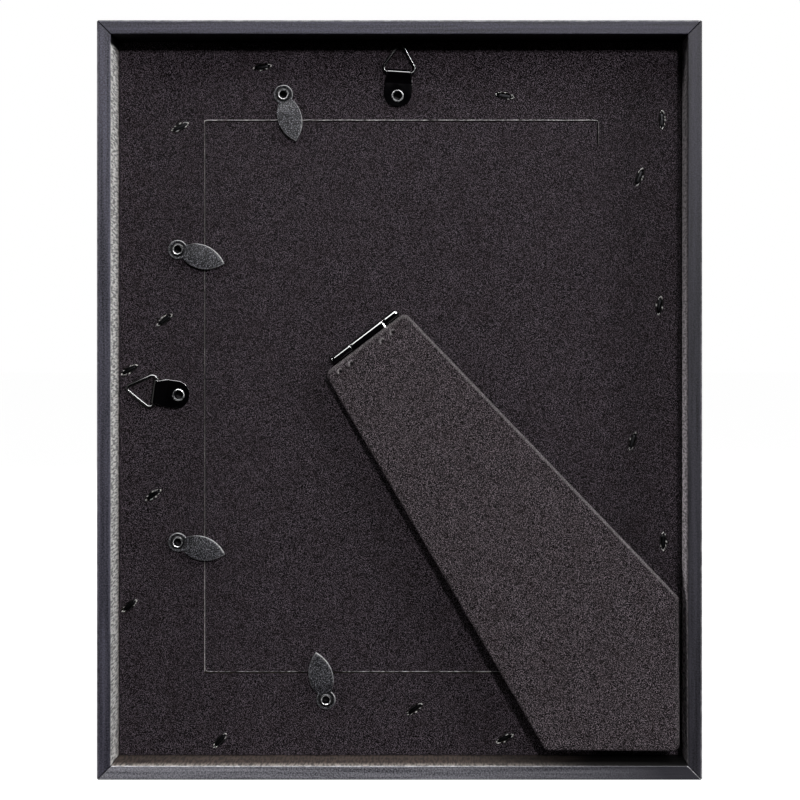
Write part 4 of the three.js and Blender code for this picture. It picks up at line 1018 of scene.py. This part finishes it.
# Rivets: two through the door's leaf, clinched in the front of the door, and two from the leg's leaf
# up into the leg. All are small steel rivets with low domed heads.
RIVET_RADIUS = 0.8 * MM
RIVET_HEAD = 1.6 * MM
RIVET_DOME = 0.5 * MM
RIVET_FOOT = 0.4 * MM
RIVET_SIDES = 28
rivet_profile_head = np.stack([RIVET_HEAD * np.cos(dome), RIVET_DOME * np.sin(dome)], axis=1)
for name in ("door_rivet_1", "door_rivet_2", "leg_rivet_1", "leg_rivet_2"):
    on_leg = name.startswith("leg")
    points = node_points(name)
    opened = leg_open if on_leg else 0.0
    away = points - pin_at
    lift = -away[:, 1]
    raised = away @ leg_up
    local = np.stack([
        away @ pin_run,
        raised * math.cos(opened) - lift * math.sin(opened),
        raised * math.sin(opened) + lift * math.cos(opened),
    ], axis=1)
    lowest, highest = local.min(axis=0), local.max(axis=0)
    at = (lowest + highest) / 2 * np.array([1, 1, 0])
    if on_leg:
        seat = lowest[2] + RIVET_DOME
        profile = np.vstack([
            rivet_profile_head[::-1] * np.array([1, -1]) + np.array([0, seat]),
            [(RIVET_RADIUS, seat), (RIVET_RADIUS, highest[2])],
        ])
    else:
        seat = highest[2] - RIVET_DOME
        foot = lowest[2]
        profile = np.vstack([
            [(RIVET_HEAD, foot), (RIVET_HEAD, foot + RIVET_FOOT), (RIVET_RADIUS, foot + RIVET_FOOT)],
            [(RIVET_RADIUS, seat)],
            rivet_profile_head + np.array([0, seat]),
        ])
    grid = turned_round(profile, RIVET_SIDES) + at
    mesh = skin(f"domed_{name}", at_hinge(grid, opened), "pointed")
    add_piece(f"domed_{name}", mesh, eyelet_metal, "leg" if on_leg else "frame", "eyelet_metal", name)

# Easel leg: a tapered piece of board wrapped in dark paper, with rounded edges that have a painted
# highlight on the upper side. Its hinge leaf lies in a pocket underneath; four clinch marks dent it
# near the top, each with a painted highlight on one side of its ring and painted shade in its dent.
LEG_TAPER = math.radians(6.65)
LEG_TOP_GAP = 1.6 * MM
LEG_TOP_LEFT = 17.6 * MM
LEG_TOP_RIGHT = 15.6 * MM
LEG_LOW = 0.8 * MM
LEG_THICK = 3.0 * MM
LEG_EDGE = 0.8 * MM
LEG_ROUND = 2.4 * MM
LEG_TIP_ROUND = 0.8 * MM
LEG_EDGE_HIGHLIGHT = (0.05, 0.12, 0.2, 0.28, 0.32, 0.32, 0.28, 0.14, 0.03)
LEG_LIT_SIDE = unit(np.array([1.0, 0.8]))
FOOT_GAP_SIDE = 2.3 * MM
FOOT_GAP_BOTTOM = 4.1 * MM
CLINCHES = [(-13.1 * MM, -4.4 * MM), (-8.7 * MM, -4.5 * MM), (3.9 * MM, -4.9 * MM), (8.3 * MM, -4.6 * MM)]
CLINCH_RADIUS = 0.8 * MM
CLINCH_WIDTH = 0.3 * MM
CLINCH_RISE = 0.4 * MM
CLINCH_DENT = 0.8 * MM
CLINCH_HIGHLIGHT = 0.75
CLINCH_HOLLOW = 0.7
CLINCH_SHADE = 0.7
CLINCH_LIT_SIDE = unit(np.array([-0.4, 1.0]))
TRACE_STEP = 0.05
FINE_STEP = 0.25 * MM
WIDE_STEP = 1.2 * MM
FINE_FROM = -7 * MM
POCKET_PLAY = 0.3 * MM
leg_paper = paper_material(
    "leg_paper", 3700.0, shade(5, 4, 5), shade(131, 120, 127), shade(42, 33, 33), shade(120, 113, 116), 0.6,
    shade(196, 190, 191),
)


def leg_corners():
    """Corners of the leg at its hinge, anticlockwise: two at the top, and three at the foot, where the
    long sides end on a level edge and an upright edge inside the rim."""
    turn = math.atan2(pin_run[2], pin_run[0])
    slant = math.pi / 2 - turn
    to_back = np.array([[math.cos(turn), -math.sin(turn)], [math.sin(turn), math.cos(turn)]])
    pin = pin_at[[0, 2]]
    left = pin + to_back @ np.array([-LEG_TOP_LEFT, -LEG_TOP_GAP])
    right = pin + to_back @ np.array([LEG_TOP_RIGHT, -LEG_TOP_GAP])
    foot = np.array([outer_high[0] - rim_width - FOOT_GAP_SIDE, outer_low[2] + rim_width + FOOT_GAP_BOTTOM])
    low_left = (left[0] + (left[1] - foot[1]) / math.tan(slant + LEG_TAPER), foot[1])
    high_right = (foot[0], right[1] - (foot[0] - right[0]) * math.tan(slant - LEG_TAPER))
    return (np.array([left, low_left, foot, high_right, right]) - pin) @ to_back


def leg_grid():
    """Leg as rings, from the middle of the under side out to its outline, round both edges by quarter
    circles and in again to the middle of the upper side, where each clinch mark is a raised ring
    round a dent. Gives the points, how much painted highlight each has, on the upper edges and on
    one side of each clinch ring, and how much painted shade lies in each dent."""
    radii = (LEG_ROUND, LEG_TIP_ROUND, LEG_ROUND, LEG_TIP_ROUND, LEG_ROUND)
    outline = rounded(leg_corners(), radii)
    dense = resampled(np.vstack([outline, outline[:1]]), TRACE_STEP * MM)[:-1]
    crowd = np.cumsum(np.where(dense[:, 1] > FINE_FROM, 1 / FINE_STEP, 1 / WIDE_STEP)) * TRACE_STEP * MM
    outline = dense[np.searchsorted(crowd, np.arange(0, crowd[-1]))]
    tangent = unit(np.roll(outline, -1, axis=0) - np.roll(outline, 1, axis=0))
    inward = np.stack([-tangent[:, 1], tangent[:, 0]], axis=1)
    rim = outline + LEG_EDGE * inward
    centre = rim.mean(axis=0)
    roll = np.linspace(0, math.pi / 2, 7)
    inset = LEG_EDGE * np.concatenate([1 - np.sin(roll[1:]), 1 - np.cos(roll)])
    level = np.concatenate([LEG_EDGE * (1 - np.cos(roll[1:])), LEG_THICK - LEG_EDGE * (1 - np.sin(roll))])
    sides = outline[None] + inset[:, None, None] * inward[None]
    shrink = np.concatenate([np.linspace(1, 0.86, 24)[1:], np.linspace(0.86, 0.02, 30)[1:]])
    inner = centre + shrink[:, None, None] * (rim - centre)[None]
    under = centre + np.array([0.05, 0.5, 0.9, 1.0])[:, None, None] * (rim - centre)[None]
    flat = np.concatenate([under, sides, inner])
    level = np.concatenate([np.zeros(len(under)), level, np.full(len(shrink), LEG_THICK)])
    height = np.broadcast_to(level[:, None], flat.shape[:2]).copy()
    upper = slice(len(under) + len(sides), None)
    # Edges that face the light get a painted highlight.
    lit = np.clip(-inward @ LEG_LIT_SIDE, 0, 1)
    rubbed_and_lit = np.zeros(len(flat))
    rubbed_and_lit[len(under) + 6: len(under) + len(sides) + 2] = LEG_EDGE_HIGHLIGHT
    wear_and_light = rubbed_and_lit[:, None] * lit[None]
    dent = np.zeros_like(wear_and_light)
    for clinch in CLINCHES:
        away = flat[upper] - np.array(clinch)
        distance = np.linalg.norm(away, axis=-1)
        ring = np.exp(-(((distance - CLINCH_RADIUS) / CLINCH_WIDTH) ** 2))
        height[upper] += CLINCH_RISE * ring
        hollow = np.exp(-((distance / (CLINCH_HOLLOW * CLINCH_RADIUS)) ** 2))
        height[upper] -= CLINCH_DENT * hollow
        dent[upper] = np.maximum(dent[upper], CLINCH_SHADE * hollow)
        wear_and_light[upper] = np.maximum(wear_and_light[upper], CLINCH_HIGHLIGHT * ring * (away @ CLINCH_LIT_SIDE > 0))
    return np.concatenate([flat, LEG_LOW + height[..., None]], axis=-1), {"edge": wear_and_light, "dent": dent}


grid, marks = leg_grid()
mesh = skin("wrapped_leg", at_hinge(grid, leg_open), "pointed", marks, sharp=60)
pocket_half = LEAF_HALF + POCKET_PLAY
pocket_low, pocket_high = LEG_LOW - POCKET_PLAY, ROLL_RADIUS + LEAF_THICK / 2 + POCKET_PLAY
pocket = np.array([
    [(leg_leaf_middle + x * pocket_half, y, z) for x, y in (
        (-1, -LEAF_LENGTH - POCKET_PLAY), (1, -LEAF_LENGTH - POCKET_PLAY), (1, 0), (-1, 0)
    )] for z in (pocket_low, pocket_high)
])
mesh = cut_out(mesh, skin("leaf_pocket", at_hinge(pocket, leg_open)))
add_piece("wrapped_leg", mesh, leg_paper, "leg", "leg_paper", "easel_leg")

# Floor: a plain white surface that the frame stands on. It keeps the frame's shadow and looks as
# white to the camera as the ground behind the frame.
FLOOR_HALF = 6.0
FLOOR_LEVEL = -0.0002
FLOOR_TONE = (0.16, 0.16, 0.16, 1)
FLOOR_GLOW = 0.985
floor_mesh = bpy.data.meshes.new("floor")
floor_corners = [(-FLOOR_HALF, -FLOOR_HALF), (FLOOR_HALF, -FLOOR_HALF), (FLOOR_HALF, FLOOR_HALF),
                 (-FLOOR_HALF, FLOOR_HALF)]
floor_mesh.from_pydata([(x, y, FLOOR_LEVEL) for x, y in floor_corners], [], [(0, 1, 2, 3)])
floor = bpy.data.objects.new("floor", floor_mesh)
bpy.context.scene.collection.objects.link(floor)


def seen_white(tree):
    """1 for rays that show the background to the camera, in a mirror or through glass, and else 0."""
    path = put(tree, "ShaderNodeLightPath").outputs
    shown = times(tree, path["Is Camera Ray"], path["Is Glossy Ray"], "MAXIMUM")
    return times(tree, shown, path["Is Transmission Ray"], "MAXIMUM")


floor_white = bpy.data.materials.new("floor_white")
floor_white.use_nodes = True
tree = floor_white.node_tree
tree.nodes.clear()
matt = put(tree, "ShaderNodeBsdfDiffuse", {"Color": FLOOR_TONE}).outputs[0]
bright = put(tree, "ShaderNodeEmission", {"Strength": times(tree, seen_white(tree), FLOOR_GLOW)}).outputs[0]
both = put(tree, "ShaderNodeAddShader", {0: matt, 1: bright}).outputs[0]
put(tree, "ShaderNodeOutputMaterial", {"Surface": both})
floor_mesh.materials.append(floor_white)

# Studio: a white surround that the camera sees, a small lamp above and right of the camera, which
# throws the shadows down and to the left, lamps at the upper left and the right that light the inner
# walls, a weak fill, a strip overhead that only gloss shows, and a broad lamp for the picture side.
scene = bpy.context.scene
scene.view_settings.view_transform = "Standard"
world = bpy.data.worlds.new("studio")
scene.world = world
world.use_nodes = True
tree = world.node_tree
tree.nodes.clear()
SURROUND = 0.03
surround = times(tree, seen_white(tree), SURROUND, "MAXIMUM")
sky = put(tree, "ShaderNodeBackground", {"Color": (1, 1, 1, 1), "Strength": surround}).outputs[0]
put(tree, "ShaderNodeOutputWorld", {"Surface": sky})


def area_lamp(name, at, wide, high, power):
    """Lamp of some width and height that faces the middle of the frame."""
    lamp = bpy.data.lights.new(name, "AREA")
    lamp.shape = "RECTANGLE"
    lamp.size, lamp.size_y, lamp.energy = wide, high, power
    holder = bpy.data.objects.new(name, lamp)
    scene.collection.objects.link(holder)
    towards = np.array(at) - middle
    holder.location = at
    holder.rotation_euler = (
        math.acos(towards[2] / np.linalg.norm(towards)), 0, math.atan2(towards[1], towards[0]) + math.pi / 2
    )
    return holder


area_lamp("key", (0.3, -1.5, 0.62), 0.14, 0.14, 14.2)
area_lamp("upper_left", (-0.75, -0.28, 0.6), 0.12, 0.12, 3.0)
area_lamp("right", (0.85, -0.42, 0.5), 0.3, 0.3, 5.4)
fill = area_lamp("fill", (-0.6, -1.0, 0.15), 0.8, 0.8, 0.3)
fill.visible_glossy = False
strip = area_lamp("strip", (0.0, -0.52, 0.894), 1.3, 0.62, 54.0)
strip.visible_diffuse = False
picture_side = area_lamp("front", (-0.4, 1.1, 0.6), 0.8, 0.8, 14.0)
picture_side.visible_glossy = False

# Tent: black cloth over the camera's side and on the floor there, as used for dark glossy things, so
# that they mirror darkness and the lamps; the camera and the lamps' light pass through it.
TENT_RADIUS = 1.7
TENT_AT = np.array([0, -0.02, 0.001])
swing = np.linspace(-math.pi, 0, 40)[:, None]
rise = np.concatenate([np.zeros(2), np.linspace(0, math.pi / 2, 16)[1:]])
reach = np.where(np.arange(len(rise)) == 0, 0, np.cos(rise))
tent_grid = TENT_AT + TENT_RADIUS * np.stack([
    np.cos(swing) * reach, np.sin(swing) * reach, np.ones_like(swing) * np.sin(rise)
], axis=-1)
index = np.arange(tent_grid[..., 0].size).reshape(tent_grid.shape[:2])
tent_mesh = bpy.data.meshes.new("tent")
tent_mesh.from_pydata(tent_grid.reshape(-1, 3), [], quads_of(index).reshape(-1, 4).tolist())
tent = bpy.data.objects.new("tent", tent_mesh)
scene.collection.objects.link(tent)
tent.visible_camera = False
tent.visible_shadow = False
tent_cloth = new_material(
    "tent_cloth", {"Base Color": shade(6, 6, 6), "Roughness": 1.0, "Specular IOR Level": 0.0}
)[0]
tent_mesh.materials.append(tent_cloth)

# Camera: it looks square at the back of the frame, from a little right of its middle and above it.
# A shift of the lens sets the frame in the picture as the photograph has it.
CAMERA_AT = (0.01246, -0.5936, 0.1447)
CAMERA_LENS = 80.8
CAMERA_SHIFT = (-0.0475, -0.0838)
camera = bpy.data.cameras.new("camera")
camera.lens = CAMERA_LENS
camera.shift_x, camera.shift_y = CAMERA_SHIFT
holder = bpy.data.objects.new("camera", camera)
scene.collection.objects.link(holder)
holder.location = CAMERA_AT
holder.rotation_euler = (math.pi / 2, 0, 0)
scene.camera = holder
